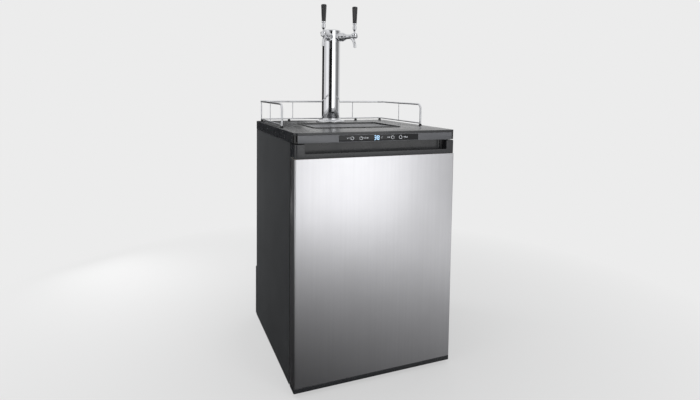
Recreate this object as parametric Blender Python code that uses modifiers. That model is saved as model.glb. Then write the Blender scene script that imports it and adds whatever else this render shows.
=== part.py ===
"""A free-standing two-tap kegerator: a fridge cabinet with a right-hung door, a worktop with drip tray and
guard rail, and a chrome beer tower. Metres, +Z up, front towards -Y, origin under the middle of its box."""

import math

import bmesh
import bpy
from mathutils import Matrix, Vector

# Whole object
WIDTH = 0.600  # worktop, side to side
DEPTH = 0.646  # door face to the outside of the condenser
WORKTOP_HEIGHT = 0.872  # floor to worktop surface
SEAT_GAP = 0.0003  # between pieces that rest on each other
OVERRUN = 0.010  # cutters run this far past what they cut
ROUND_STEPS = 28  # facets round a large turned piece
SMALL_STEPS = 16  # facets round a small turned piece

# Cabinet
BODY_INSET = 0.003  # cabinet and door behind the worktop's ends
CABINET_BOTTOM = 0.012
WORKTOP_DEPTH = 0.034  # worktop surface down to the cabinet's top
SHELL_WALL = 0.0012
SHELL_FLANGE = 0.030  # folded front edge that the door seal meets
SHELL_EDGE = 0.003
SIDE_WALL = 0.042  # outside of the cabinet to the inside of the liner
ROOF_WALL = 0.042
FLOOR_WALL = 0.040
REAR_WALL = 0.032
LINER_WALL = 0.0020
LEDGE_DEPTH = 0.109  # liner's back to the front of the step over the machine space
LEDGE_HEIGHT = 0.250  # floor to the top of the step
STEP_WALL = 0.018  # thickness of the step's front wall
STEP_ROOF = 0.030
PAN_WALL = 0.0015
BACK_SHEET = 0.0010
LINE_HOLE = 0.025  # radius of the passage from the cabinet up into the tower

# Rear condenser and machine cover
CONDENSER_STAND = 0.026  # how far they stand out behind the cabinet
CONDENSER_DROP = 0.190  # worktop surface down to the condenser's top
CONDENSER_WIDTH = 0.500
CONDENSER_TUBE = 0.0024
CONDENSER_PASSES = 7
CONDENSER_WIRE = 0.0018
CONDENSER_WIRES = 16
CONDENSER_ROWS = 2
CONDENSER_BAR = 0.006
COVER_HEIGHT = 0.225
COVER_WALL = 0.0015
COVER_SLOT = 0.006
COVER_SLOTS = 7

# Compressor
COMPRESSOR_RADIUS = 0.052
COMPRESSOR_HEIGHT = 0.150
COMPRESSOR_X = 0.110
GROMMET_HEIGHT = 0.010

# Door
DOOR_THICKNESS = 0.055
SEAL_GAP = 0.008  # between door and cabinet, where the seal sits
DOOR_BOTTOM = 0.014
DOOR_TOP_CLEARANCE = 0.003
TOP_CAP_HEIGHT = 0.048
BOTTOM_CAP_HEIGHT = 0.016
DOOR_SKIN = 0.0010
DOOR_EDGE = 0.004
DOOR_LINER = 0.0020
SEAL_SPAN = 0.552  # outside width of the seal
SEAL_WIDTH = 0.016
SEAL_MARGIN = 0.028  # seal to the door's top and bottom ends
GRIP_SPAN = 0.530
GRIP_DEPTH = 0.038
GRIP_LIP = 0.007  # thickness of the lip that the fingers hook over
GRIP_LIP_HEIGHT = 0.016
GRIP_FLOOR = 0.005
GRIP_ROUND = 0.014

# Hinges
PIN_INSET = 0.015  # hinge pin to the door's side
PIN_DEPTH = 0.028  # hinge pin to the door's face
PIN_RADIUS = 0.0040
PIN_CLEARANCE = 0.0004
PIN_LENGTH = 0.013
BRACKET_WALL = 0.0025
BRACKET_WIDTH = 0.034
BRACKET_REACH = 0.040  # how far a bracket runs back along the cabinet
BRACKET_NOSE = 0.011  # pin to the bracket's front end

# Worktop, fascia and display
WORKTOP_SKIN = 0.004
WORKTOP_NOSE = 0.008
WORKTOP_SETBACK = 0.0015  # worktop's front edge behind the door's face
WORKTOP_CORNER = 0.014
FASCIA_SETBACK = 0.0020
FASCIA_DEPTH = 0.018
FASCIA_WALL = 0.004
FASCIA_END_CLEARANCE = 0.0015
DISPLAY_SPAN = 0.296
DISPLAY_THICKNESS = 0.0020
DISPLAY_MARGIN = 0.0025

# Drip tray
TRAY_WIDTH = 0.356
TRAY_LENGTH = 0.256
TRAY_STANDOFF = 0.014  # tray to the tower's flange
TRAY_CORNER = 0.026
TRAY_RIM = 0.009
TRAY_RIM_THICKNESS = 0.0022
TRAY_DEPTH = 0.019
TRAY_WALL = 0.0018
TRAY_LEDGE = 0.008
TRAY_LEDGE_DEPTH = 0.006
TRAY_CLEARANCE = 0.0012
GRATE_THICKNESS = 0.0030
GRATE_BAR = 0.0045
GRATE_ROWS = 14
GRATE_COLUMNS = 2
GRATE_MARGIN = 0.010

# Guard rail
RAIL_INSET = 0.016
RAIL_FRONT = 0.225  # door face to the rail's front posts
RAIL_BACK_INSET = 0.016
RAIL_HEIGHT = 0.085  # worktop surface to the middle of the top wire
RAIL_RADIUS = 0.0038
RAIL_LOW_RADIUS = 0.0028
RAIL_WIRE_RADIUS = 0.0016
RAIL_BEND = 0.020
RAIL_LOW_HEIGHT = 0.0095
RAIL_FOOT_RADIUS = 0.0062
RAIL_WIRE_X = 0.142
RAIL_FOOT_X = 0.158

# Tower
TOWER_INSET = 0.115  # column's axis to the cabinet's back
TOWER_HEIGHT = 0.395  # worktop surface to the top of the cap
COLUMN_RADIUS = 0.0381
COLUMN_WALL = 0.0015
CAP_HEIGHT = 0.010
CAP_LIP = 0.0012
CAP_PLUG = 0.012
FLANGE_RADIUS = 0.061
FLANGE_HEIGHT = 0.007
FLANGE_COLLAR = 0.016
FLANGE_COLLAR_WALL = 0.0040
SHANK_DROP = 0.034  # cap's top to the shanks' axis
TAP_ANGLE = math.radians(35)  # each tap turns this far out from the front

# Taps, along the shank from the column's axis
SHANK_INNER = 0.0175
SHANK_RADIUS = 0.0110
SHANK_BORE = 0.0035
SHANK_FLANGE_RADIUS = 0.0170
SHANK_FLANGE = 0.007
NUT_RADIUS = 0.0185
NUT_LENGTH = 0.024
NUT_LUGS = 6
TAP_REACH = 0.118  # column's axis to the lever's pivot
BARREL_RADIUS = 0.0095
BARREL_REAR_RADIUS = 0.0135
PIVOT_HEIGHT = 0.0105  # lever's pivot over the shank's axis
BONNET_RADIUS = 0.0125
BONNET_LIP = 0.0030  # bonnet's top over the pivot
BONNET_CLEARANCE = 0.0006
SPOUT_RADIUS = 0.0072
SPOUT_DROP = 0.045
SHAFT_RADIUS = 0.0040
SHAFT_CLEARANCE = 0.0008
SHAFT_SLOT = 0.0080
SHAFT_REAR = 0.077
SHAFT_NOSE = 0.006  # shaft's front end past the pivot
LEVER_ARM = 0.009  # pivot to the end that moves the shaft
LEVER_BALL = 0.0062
LEVER_STEM_RADIUS = 0.0030
LEVER_TAIL_RADIUS = 0.0022
LEVER_STUD_RADIUS = 0.0045
LEVER_STUD = 0.016  # thread that the handle screws on
FERRULE_RADIUS = 0.0078
FERRULE_BOTTOM = 0.027
HANDLE_BOTTOM = 0.054
HANDLE_LENGTH = 0.068
HANDLE_FOOT_RADIUS = 0.0085
HANDLE_TOP_RADIUS = 0.0112
HANDLE_FLUTES = 8
HANDLE_FLUTE_DEPTH = 0.0012

# Feet
FOOT_RADIUS = 0.019
FOOT_PAD = 0.008
FOOT_STUD = 0.0040
FOOT_STUD_LENGTH = 0.026
FOOT_INSET = 0.045
FOOT_CLEARANCE = 0.0006

# Inside the cabinet
PLATE_WIDTH = 0.220
PLATE_X = 0.020
PLATE_DROP = 0.0857  # inner roof down to the plate
PLATE_HEIGHT = 0.250
PLATE_WALL = 0.0025
PLATE_CHANNEL = 0.0035
PLATE_CHANNELS = 5
PLATE_STUD = 0.006
FAN_SIZE = 0.104
FAN_DEPTH = 0.030
FAN_STAND = 0.012  # room for air between housing and rear wall
FAN_STAND_RADIUS = 0.005
FAN_BLADE_WIDTH = 0.020
FAN_BLADE_TILT = math.radians(35)
FAN_WALL = 0.0030
FAN_HUB_RADIUS = 0.016
FAN_SHAFT_RADIUS = 0.0030
FAN_BLADES = 7
FAN_BLADE_WALL = 0.0018
FAN_SPOKE = 0.004
FAN_RUNNING_GAP = 0.0015
FAN_SIDE_GAP = 0.007  # fan to the liner's side
FAN_RISE = 0.015  # fan over the middle of the cold plate
LAMP_WIDTH = 0.080
LAMP_DEPTH = 0.045
LAMP_HEIGHT = 0.018
LAMP_Y = 0.02

# Gas cylinder and regulator
CYLINDER_RADIUS = 0.0520
CYLINDER_HEIGHT = 0.275
CYLINDER_SHOULDER = 0.046
CYLINDER_NECK_RADIUS = 0.0160
CYLINDER_NECK = 0.014
CYLINDER_SIDE_CLEARANCE = 0.018
CYLINDER_REAR_CLEARANCE = 0.004
VALVE_HEIGHT = 0.052
VALVE_RADIUS = 0.0130
WHEEL_RADIUS = 0.0190
WHEEL_HEIGHT = 0.012
WHEEL_LOBES = 6
REGULATOR_REACH = 0.052
REGULATOR_RADIUS = 0.0230
REGULATOR_DEPTH = 0.036
GAUGE_RADIUS = 0.0210
GAUGE_DEPTH = 0.020
GAUGE_STEM_RADIUS = 0.0050
GAUGE_STEM = 0.010
KNOB_RADIUS = 0.0120
KNOB_LENGTH = 0.024

# Places worked out from the sizes above
FRONT = -DEPTH / 2
BACK = DEPTH / 2
HALF_WIDTH = WIDTH / 2
HALF_BODY = HALF_WIDTH - BODY_INSET
CABINET_TOP = WORKTOP_HEIGHT - WORKTOP_DEPTH - SEAT_GAP
DOOR_BACK = FRONT + DOOR_THICKNESS
CABINET_FRONT = DOOR_BACK + SEAL_GAP
SKIN_BACK = DOOR_BACK - DOOR_LINER - SEAT_GAP  # the steel wraps round the door's sides, back to its liner
CABINET_BACK = BACK - CONDENSER_STAND
DOOR_TOP = WORKTOP_HEIGHT - WORKTOP_DEPTH - DOOR_TOP_CLEARANCE
SKIN_BOTTOM = DOOR_BOTTOM + BOTTOM_CAP_HEIGHT
SKIN_TOP = DOOR_TOP - TOP_CAP_HEIGHT
HALF_ROOM = HALF_BODY - SIDE_WALL
ROOM_FLOOR = CABINET_BOTTOM + FLOOR_WALL
ROOM_ROOF = CABINET_TOP - ROOF_WALL
ROOM_BACK = CABINET_BACK - REAR_WALL
STEP_FRONT = ROOM_BACK - LEDGE_DEPTH
MACHINE_FRONT = STEP_FRONT + STEP_WALL
MACHINE_TOP = LEDGE_HEIGHT - STEP_ROOF
PIN_X = HALF_BODY - PIN_INSET
PIN_Y = FRONT + PIN_DEPTH
TOWER_Y = CABINET_BACK - TOWER_INSET
TOWER_TOP = WORKTOP_HEIGHT + TOWER_HEIGHT
PLATE_Z = ROOM_ROOF - PLATE_DROP - PLATE_HEIGHT / 2
FAN_X = HALF_ROOM - FAN_SIDE_GAP - FAN_SIZE / 2
FAN_Z = PLATE_Z + FAN_RISE
SHANK_Z = TOWER_TOP - SHANK_DROP


def clear_scene():
    for obj in list(bpy.data.objects):
        bpy.data.objects.remove(obj)


def new_collection(name):
    collection = bpy.data.collections.new(name)
    bpy.context.scene.collection.children.link(collection)
    return collection


def new_material(name, colour, roughness, metallic):
    material = bpy.data.materials.new(name)
    material.use_nodes = True
    shader = material.node_tree.nodes["Principled BSDF"]
    shader.inputs["Base Color"].default_value = (*colour, 1)
    shader.inputs["Roughness"].default_value = roughness
    shader.inputs["Metallic"].default_value = metallic
    material.diffuse_color = (*colour, 1)
    return material


clear_scene()
PARTS = new_collection("kegerator")
CUTTERS = new_collection("cutters")

STAINLESS = new_material("brushed stainless steel", (0.60, 0.60, 0.61), 0.32, 1.0)
CHROME = new_material("chromed brass", (0.80, 0.80, 0.82), 0.06, 1.0)
CABINET_PAINT = new_material("textured cabinet paint", (0.045, 0.047, 0.050), 0.55, 0.0)
BLACK_ABS = new_material("moulded black ABS", (0.022, 0.022, 0.024), 0.38, 0.0)
GLOSS_BLACK = new_material("gloss black acrylic", (0.012, 0.012, 0.014), 0.10, 0.0)
FASCIA_GREY = new_material("satin grey ABS", (0.12, 0.12, 0.13), 0.35, 0.0)
LINER_GREY = new_material("thermoformed grey HIPS", (0.62, 0.63, 0.64), 0.40, 0.0)
RUBBER = new_material("black rubber", (0.020, 0.020, 0.020), 0.80, 0.0)
GALVANISED = new_material("galvanised steel", (0.50, 0.51, 0.52), 0.45, 1.0)
MACHINE_PAINT = new_material("black enamel", (0.015, 0.015, 0.016), 0.30, 0.0)
FOAM = new_material("polyurethane foam", (0.75, 0.65, 0.42), 0.90, 0.0)
ALUMINIUM = new_material("rolled aluminium", (0.70, 0.71, 0.72), 0.35, 1.0)
BRASS = new_material("turned brass", (0.72, 0.52, 0.25), 0.30, 1.0)
CLEAR = new_material("clear polycarbonate", (0.85, 0.88, 0.90), 0.15, 0.0)


def add_piece(name, mesh, material=None, parent=None, collection=PARTS):
    """An object for this mesh. Under a parent, the mesh's points are in the parent's own frame."""
    obj = bpy.data.objects.new(name, mesh)
    collection.objects.link(obj)
    if material:
        obj.data.materials.append(material)
    obj.parent = parent
    return obj


def add_axis(name, place, turn=0, parent=None):
    """An empty on a joint's axis, or at the middle of a sub-assembly, turned about +Z."""
    empty = bpy.data.objects.new(name, None)
    PARTS.objects.link(empty)
    empty.location = place
    empty.rotation_euler = (0, 0, turn)
    empty.parent = parent
    return empty


def as_cutter(obj):
    for collection in list(obj.users_collection):
        collection.objects.unlink(obj)
    CUTTERS.objects.link(obj)
    obj.hide_render = True
    obj.display_type = "WIRE"
    return obj


def smooth(obj, angle=35):
    obj.data.shade_smooth()
    obj.data.set_sharp_from_angle(angle=math.radians(angle))
    return obj


def box_mesh(name, low, high, rounding=0, edges="Z", steps=4):
    """A box between two corners. Rounding bevels the edges along one axis, or all of them."""
    low, high = Vector(low), Vector(high)
    build = bmesh.new()
    size = Matrix.Diagonal((*(high - low), 1))
    bmesh.ops.create_cube(build, size=1, matrix=Matrix.Translation((low + high) / 2) @ size)
    if rounding:
        axis = {"X": 0, "Y": 1, "Z": 2}.get(edges)
        chosen = [e for e in build.edges if axis is None or is_along(e, axis)]
        bmesh.ops.bevel(build, geom=chosen, offset=rounding, segments=steps, profile=0.5,
                        affect="EDGES", clamp_overlap=True)
    mesh = bpy.data.meshes.new(name)
    build.to_mesh(mesh)
    build.free()
    return mesh


def is_along(edge, axis):
    way = edge.verts[1].co - edge.verts[0].co
    return abs(way[axis]) > 0.999 * way.length


def box(name, low, high, material=None, parent=None, **rounding):
    return smooth(add_piece(name, box_mesh(name, low, high, **rounding), material, parent))


def baked(obj):
    """The object with its modifiers applied and, for a curve, its caps welded."""
    graph = bpy.context.evaluated_depsgraph_get()
    graph.update()
    mesh = bpy.data.meshes.new_from_object(obj.evaluated_get(graph))
    build = bmesh.new()
    build.from_mesh(mesh)
    bmesh.ops.remove_doubles(build, verts=build.verts, dist=0.000001 * WIDTH)
    build.to_mesh(mesh)
    build.free()
    name, parent, collection = obj.name, obj.parent, obj.users_collection[0]
    materials = [slot.material for slot in obj.material_slots]
    bpy.data.objects.remove(obj)
    made = bpy.data.objects.new(name, mesh)
    collection.objects.link(made)
    made.parent = parent
    if not mesh.materials:
        for material in materials:
            mesh.materials.append(material)
    return made


def boolean(obj, other, operation):
    change = obj.modifiers.new(operation.lower(), "BOOLEAN")
    change.operation = operation
    change.object = other
    change.solver = "EXACT"
    return obj


def cut(obj, *cutters):
    for cutter in cutters:
        boolean(obj, as_cutter(cutter), "DIFFERENCE")
    return obj


def join(obj, *others):
    for other in others:
        boolean(obj, as_cutter(other), "UNION")
    return obj


def scaled(shares, radius, length, low=0):
    """A profile from (share of the radius, share of the length) pairs, from the height low up."""
    return [(radius * across, low + length * along) for across, along in shares]


def turned(name, profile, material=None, parent=None, steps=ROUND_STEPS, place=(0, 0, 0), axis="Z"):
    """A shape turned about an axis. The profile runs down its outer side as (radius, height) points."""
    mesh = bpy.data.meshes.new(name)
    points = [(radius, 0, height) for radius, height in profile]
    mesh.from_pydata(points, [(i, i + 1) for i in range(len(points) - 1)], [])
    obj = add_piece(name, mesh, material, parent)
    screw = obj.modifiers.new("turn", "SCREW")
    screw.axis = "Z"
    screw.steps = screw.render_steps = steps
    screw.use_merge_vertices = True
    screw.merge_threshold = 0.00001
    obj = baked(obj)
    turn = {"Z": Matrix(), "X": Matrix.Rotation(math.radians(90), 4, "Y"),
            "Y": Matrix.Rotation(math.radians(-90), 4, "X"),
            "-Y": Matrix.Rotation(math.radians(90), 4, "X")}[axis]
    obj.data.transform(Matrix.Translation(place) @ turn)
    return smooth(obj)


def rod(name, radius, low, high, material=None, parent=None, steps=SMALL_STEPS, place=(0, 0, 0), axis="Z"):
    profile = [(0, high), (radius, high), (radius, low), (0, low)]
    return turned(name, profile, material, parent, steps, place, axis)


def ring(name, inner, outer, low, high, material=None, parent=None, steps=ROUND_STEPS,
         place=(0, 0, 0), axis="Z"):
    profile = [(inner, low), (inner, high), (outer, high), (outer, low), (inner, low)]
    return turned(name, profile, material, parent, steps, place, axis)


def tube(name, points, radius, material=None, parent=None, cyclic=False, resolution=2, radii=None):
    curve = bpy.data.curves.new(name, "CURVE")
    curve.dimensions = "3D"
    curve.bevel_depth = radius
    curve.bevel_resolution = resolution
    curve.use_fill_caps = True
    spline = curve.splines.new("POLY")
    spline.points.add(len(points) - 1)
    for i, (point, place) in enumerate(zip(spline.points, points)):
        point.co = (*place, 1)
        point.radius = radii[i] if radii else 1
    spline.use_cyclic_u = cyclic
    return smooth(baked(add_piece(name, curve, material, parent)))


def bent(corners, radius, steps=4):
    """The points of a path through these corners, with each inner corner rounded by an arc."""
    corners = [Vector(c) for c in corners]
    path = [corners[0]]
    for before, corner, after in zip(corners, corners[1:], corners[2:]):
        back, on = (before - corner).normalized(), (after - corner).normalized()
        half = back.angle(on) / 2
        reach = radius / math.tan(half)
        middle = corner + (back + on).normalized() * radius / math.sin(half)
        start = (corner + back * reach - middle).normalized()
        end = (corner + on * reach - middle).normalized()
        for i in range(steps + 1):
            path.append(middle + radius * start.slerp(end, i / steps))
    return path + [corners[-1]]


def flat_outline(name, loops, thickness, material=None, parent=None, place=(0, 0, 0), plane="XY"):
    """A plate of this thickness whose first loop is its outline and whose other loops are holes in it."""
    curve = bpy.data.curves.new(name, "CURVE")
    curve.dimensions = "2D"
    curve.fill_mode = "BOTH"
    curve.extrude = thickness / 2
    for loop in loops:
        spline = curve.splines.new("POLY")
        spline.points.add(len(loop) - 1)
        for point, (x, y) in zip(spline.points, loop):
            point.co = (x, y, 0, 1)
        spline.use_cyclic_u = True
    obj = baked(add_piece(name, curve, material, parent))
    upright = Matrix.Rotation(math.radians(90), 4, "X")
    turns = {"XY": Matrix(), "XZ": upright, "YZ": Matrix.Rotation(math.radians(90), 4, "Z") @ upright}
    obj.data.transform(Matrix.Translation(place) @ turns[plane])
    return smooth(obj)


def on_circle(count, radius, start=0):
    angles = [start + math.tau * i / count for i in range(count)]
    return [(radius * math.cos(a), radius * math.sin(a)) for a in angles]


def boxes(name, corners, material=None, parent=None):
    """Several boxes in one mesh, for a cutter with many holes."""
    build = bmesh.new()
    for low, high in corners:
        low, high = Vector(low), Vector(high)
        size = Matrix.Diagonal((*(high - low), 1))
        bmesh.ops.create_cube(build, size=1, matrix=Matrix.Translation((low + high) / 2) @ size)
    mesh = bpy.data.meshes.new(name)
    build.to_mesh(mesh)
    build.free()
    return add_piece(name, mesh, material, parent)


# Cabinet
INNER_X = HALF_BODY - SHELL_WALL - SEAT_GAP


def room_outline(grow, front):
    """The keg space from the side, grown outwards, with the step over the machine space at its back."""
    return [(front, ROOM_FLOOR - grow), (STEP_FRONT + grow, ROOM_FLOOR - grow),
            (STEP_FRONT + grow, LEDGE_HEIGHT - grow), (ROOM_BACK + grow, LEDGE_HEIGHT - grow),
            (ROOM_BACK + grow, ROOM_ROOF + grow), (front, ROOM_ROOF + grow)]


def room_solid(name, grow, front, material=None):
    return flat_outline(name, [room_outline(grow, front)], 2 * (HALF_ROOM + grow), material, plane="YZ")


def line_hole(name, radius=LINE_HOLE):
    return rod(name, radius, ROOM_ROOF - OVERRUN, TOWER_TOP, place=(0, TOWER_Y, 0))


def make_cabinet_shell():
    shell = box("cabinet_shell", (-HALF_BODY, CABINET_FRONT, CABINET_BOTTOM),
                (HALF_BODY, CABINET_BACK, CABINET_TOP), CABINET_PAINT, rounding=SHELL_EDGE, edges="Y")
    inside = box("shell_inside",
                 (SHELL_WALL - HALF_BODY, CABINET_FRONT + SHELL_WALL, CABINET_BOTTOM - OVERRUN),
                 (HALF_BODY - SHELL_WALL, CABINET_BACK + OVERRUN, CABINET_TOP - SHELL_WALL))
    doorway = box("shell_doorway",
                  (SHELL_FLANGE - HALF_BODY, CABINET_FRONT - OVERRUN, CABINET_BOTTOM + SHELL_FLANGE),
                  (HALF_BODY - SHELL_FLANGE, CABINET_FRONT + OVERRUN, CABINET_TOP - SHELL_FLANGE))
    return cut(shell, inside, doorway, line_hole("shell_line_hole"))


def make_foam():
    front = CABINET_FRONT + LINER_WALL + SEAT_GAP
    foam = box("foam_insulation", (-INNER_X, front, CABINET_BOTTOM + PAN_WALL + SEAT_GAP),
               (INNER_X, CABINET_BACK - BACK_SHEET - SEAT_GAP, CABINET_TOP - SHELL_WALL - SEAT_GAP), FOAM)
    room = room_solid("foam_room", LINER_WALL + SEAT_GAP, front - OVERRUN)
    machine = box("foam_machine_space", (-HALF_BODY, MACHINE_FRONT, CABINET_BOTTOM - OVERRUN),
                  (HALF_BODY, CABINET_BACK + OVERRUN, MACHINE_TOP))
    front_feet, back_feet = foot_places()
    for i, (x, y) in enumerate([*front_feet.values(), *back_feet.values()]):
        cut(foam, rod(f"foam_stud_hole_{i}", FOOT_STUD + FOOT_CLEARANCE, CABINET_BOTTOM - OVERRUN,
                      CABINET_BOTTOM + FOOT_STUD_LENGTH + FOOT_CLEARANCE, place=(x, y, 0), steps=12))
    return cut(foam, room, machine, line_hole("foam_line_hole"))


def make_liner():
    liner = room_solid("inner_liner", LINER_WALL, CABINET_FRONT + LINER_WALL / 2, LINER_GREY)
    reach = HALF_BODY - SHELL_FLANGE - SEAT_GAP
    flange = box("liner_flange", (-reach, CABINET_FRONT, CABINET_BOTTOM + SHELL_FLANGE + SEAT_GAP),
                 (reach, CABINET_FRONT + LINER_WALL, CABINET_TOP - SHELL_FLANGE - SEAT_GAP))
    room = room_solid("liner_room", 0, CABINET_FRONT - OVERRUN)
    return cut(join(liner, flange), room, line_hole("liner_line_hole"))


def make_back_panel():
    return box("back_panel", (-INNER_X, CABINET_BACK - BACK_SHEET, MACHINE_TOP),
               (INNER_X, CABINET_BACK, CABINET_TOP - SHELL_WALL - SEAT_GAP), GALVANISED)


def foot_places():
    x, front, back = HALF_BODY - FOOT_INSET, CABINET_FRONT + FOOT_INSET, CABINET_BACK - FOOT_INSET
    return {"left": (-x, front), "right": (x, front)}, {"left": (-x, back), "right": (x, back)}


def make_base_pan():
    pan = box("base_pan", (-INNER_X, CABINET_FRONT + SHELL_WALL + SEAT_GAP, CABINET_BOTTOM),
              (INNER_X, CABINET_BACK, CABINET_BOTTOM + PAN_WALL), GALVANISED)
    front, back = foot_places()
    for i, (x, y) in enumerate([*front.values(), *back.values()]):
        cut(pan, rod(f"pan_stud_hole_{i}", FOOT_STUD + FOOT_CLEARANCE, CABINET_BOTTOM - OVERRUN,
                     CABINET_BOTTOM + OVERRUN, place=(x, y, 0)))
    return pan


def make_machine_cover():
    low = CABINET_BOTTOM + SEAT_GAP
    side = HALF_BODY - SHELL_WALL
    cover = box("machine_cover", (-side, CABINET_BACK + SEAT_GAP, low), (side, BACK, COVER_HEIGHT),
                MACHINE_PAINT, rounding=SHELL_EDGE, edges="Z")
    inside = box("cover_inside", (COVER_WALL - side, CABINET_BACK - OVERRUN, low + COVER_WALL),
                 (side - COVER_WALL, BACK - COVER_WALL, COVER_HEIGHT - COVER_WALL))
    pitch = (COVER_HEIGHT - low) / (COVER_SLOTS + 1)
    slots = []
    column_shares = (-0.5, 0, 0.5)
    for row in range(1, COVER_SLOTS + 1):
        for column_share in column_shares:
            x, z = column_share * side, low + row * pitch
            half = side / 5
            slots.append(((x - half, BACK - OVERRUN, z - COVER_SLOT / 2),
                          (x + half, BACK + OVERRUN, z + COVER_SLOT / 2)))
    return cut(cover, inside, boxes("cover_slots", slots))


def make_condenser():
    """A serpentine tube behind a lattice of wires, whose side channels stand on the back panel."""
    half, top = CONDENSER_WIDTH / 2, WORKTOP_HEIGHT - CONDENSER_DROP
    bottom = COVER_HEIGHT + CONDENSER_BAR
    spacing = CONDENSER_WIDTH / (CONDENSER_WIRES + 1)
    row = (top - bottom - CONDENSER_BAR) / CONDENSER_ROWS
    holes = []
    for column in range(CONDENSER_WIRES + 1):
        x = -half + column * spacing
        for i in range(CONDENSER_ROWS):
            z = bottom + CONDENSER_BAR + i * row
            holes.append(((x + CONDENSER_WIRE / 2, BACK - OVERRUN, z),
                          (x + spacing - CONDENSER_WIRE / 2, BACK + OVERRUN, z + row - CONDENSER_BAR)))
    lattice = box("condenser_wires", (-half - CONDENSER_BAR, BACK - CONDENSER_WIRE, bottom),
                  (half + CONDENSER_BAR, BACK, top), MACHINE_PAINT)
    cut(lattice, boxes("condenser_gaps", holes))
    for side in (-1, 1):
        x = sorted((side * (half + CONDENSER_BAR), side * (half + CONDENSER_BAR - COVER_WALL)))
        join(lattice, box(f"condenser_channel_{side}", (x[0], CABINET_BACK + SEAT_GAP, bottom),
                          (x[1], BACK - CONDENSER_WIRE / 2, top)))
    y = BACK - CONDENSER_WIRE - SEAT_GAP - CONDENSER_TUBE
    pitch = (top - bottom - 2 * CONDENSER_BAR) / CONDENSER_PASSES
    reach = half - COVER_WALL - pitch / 2 - CONDENSER_TUBE
    bend_share = 0.45
    corners = []
    for i in range(CONDENSER_PASSES):
        end = (reach + pitch / 2) * (1 if i % 2 else -1)
        z = bottom + CONDENSER_BAR + pitch / 2 + pitch * i
        corners += [(end, y, z), (-end, y, z)]
    tube("condenser_tube", bent(corners, pitch * bend_share, 2), CONDENSER_TUBE, MACHINE_PAINT, resolution=1)
    return lattice


def make_compressor():
    """A welded pot with a seam round its middle, on three rubber-footed ears fused into one plate."""
    x, y = COMPRESSOR_X, (MACHINE_FRONT + CABINET_BACK) / 2
    low = CABINET_BOTTOM + PAN_WALL + SEAT_GAP
    r, h, base = COMPRESSOR_RADIUS, COMPRESSOR_HEIGHT, low + GROMMET_HEIGHT
    profile_shares = [(0, 1), (0.5, 0.98), (0.86, 0.90), (1, 0.74), (1, 0.55), (1.07, 0.55),
                      (1.07, 0.52), (1, 0.52), (1, 0.16), (0.80, 0), (0, 0)]
    pot = turned("compressor", scaled(profile_shares, r, h, base), MACHINE_PAINT, place=(x, y, 0))
    plate_share, relay_share = 1.5, 1.06
    grommet_shares = (1.3, 0.75)
    plate = box("compressor_plate", (x - plate_share * r, y - r, base + h / 20),
                (x + plate_share * r, y + r, base + h / 12), rounding=r / 3, steps=2)
    join(pot, plate)
    for i, (sx, sy) in enumerate(((-1, -1), (-1, 1), (1, -1), (1, 1))):
        join(pot, rod(f"compressor_grommet_{i}", GROMMET_HEIGHT, low, base + h / 15,
                      place=(x + sx * grommet_shares[0] * r, y + sy * grommet_shares[1] * r, 0), steps=12))
    relay = box("compressor_relay", (x - r / 2, y - relay_share * r, base + h / 5),
                (x + r / 2, y, base + h / 2))
    return join(pot, relay)


def make_feet():
    """Threaded front feet on their own axes, and plain rear feet."""
    front, back = foot_places()
    top = CABINET_BOTTOM + FOOT_STUD_LENGTH
    pad_shares = [(0.8, 1), (1, 0.7), (1, 0.15), (0.94, 0), (0, 0)]
    profile = [(0, top), (FOOT_STUD, top), (FOOT_STUD, FOOT_PAD), *scaled(pad_shares, FOOT_RADIUS, FOOT_PAD)]
    for side, (x, y) in front.items():
        axis = add_axis(f"levelling_foot_axis_{side}", (x, y, 0))
        turned(f"levelling_foot_{side}", profile, BLACK_ABS, axis, steps=SMALL_STEPS)
    rear_top = CABINET_BOTTOM - SEAT_GAP
    rear = [(0, rear_top), (FOOT_RADIUS, rear_top), *scaled(pad_shares[2:], FOOT_RADIUS, FOOT_PAD)]
    for side, (x, y) in back.items():
        turned(f"rear_foot_{side}", rear, RUBBER, steps=SMALL_STEPS, place=(x, y, 0))


def make_cord_gland():
    """The moulded inlet in the machine cover that the mains lead would leave by."""
    side_share, height_share, flange_share = -0.78, 0.20, 1.5
    side, z = HALF_BODY * side_share, COVER_HEIGHT * height_share
    r = COVER_SLOT
    flange = r * flange_share
    hole = rod("gland_hole", r + SEAT_GAP, BACK - OVERRUN, BACK + OVERRUN, place=(side, 0, z), axis="Y")
    cut(bpy.data.objects["machine_cover"], hole)
    inner = BACK - COVER_WALL - SEAT_GAP
    profile = [(0, BACK), (r, BACK), (r, inner), (flange, inner), (flange, inner - r), (0, inner - r)]
    return turned("cord_gland", profile, RUBBER, steps=16, place=(side, 0, z), axis="Y")


make_cabinet_shell()
make_foam()
make_liner()
make_back_panel()
make_base_pan()
make_machine_cover()
make_condenser()
make_compressor()
make_feet()
make_cord_gland()


# Door, hung on an empty at its hinge pins
DOOR_AXIS = add_axis("door_axis", (PIN_X, PIN_Y, 0))


def hang(obj, axis):
    """Parents a piece that was made in place, and brings its origin onto the axis."""
    obj.data.transform(Matrix.Translation(-Vector(axis.location)))
    for modifier in obj.modifiers:
        if modifier.type == "BOOLEAN":
            hang(modifier.object, axis)
    obj.parent = axis
    return obj


def bush_hole(name, low, high):
    return rod(name, PIN_RADIUS + PIN_CLEARANCE, low, high, place=(PIN_X, PIN_Y, 0))


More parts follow.
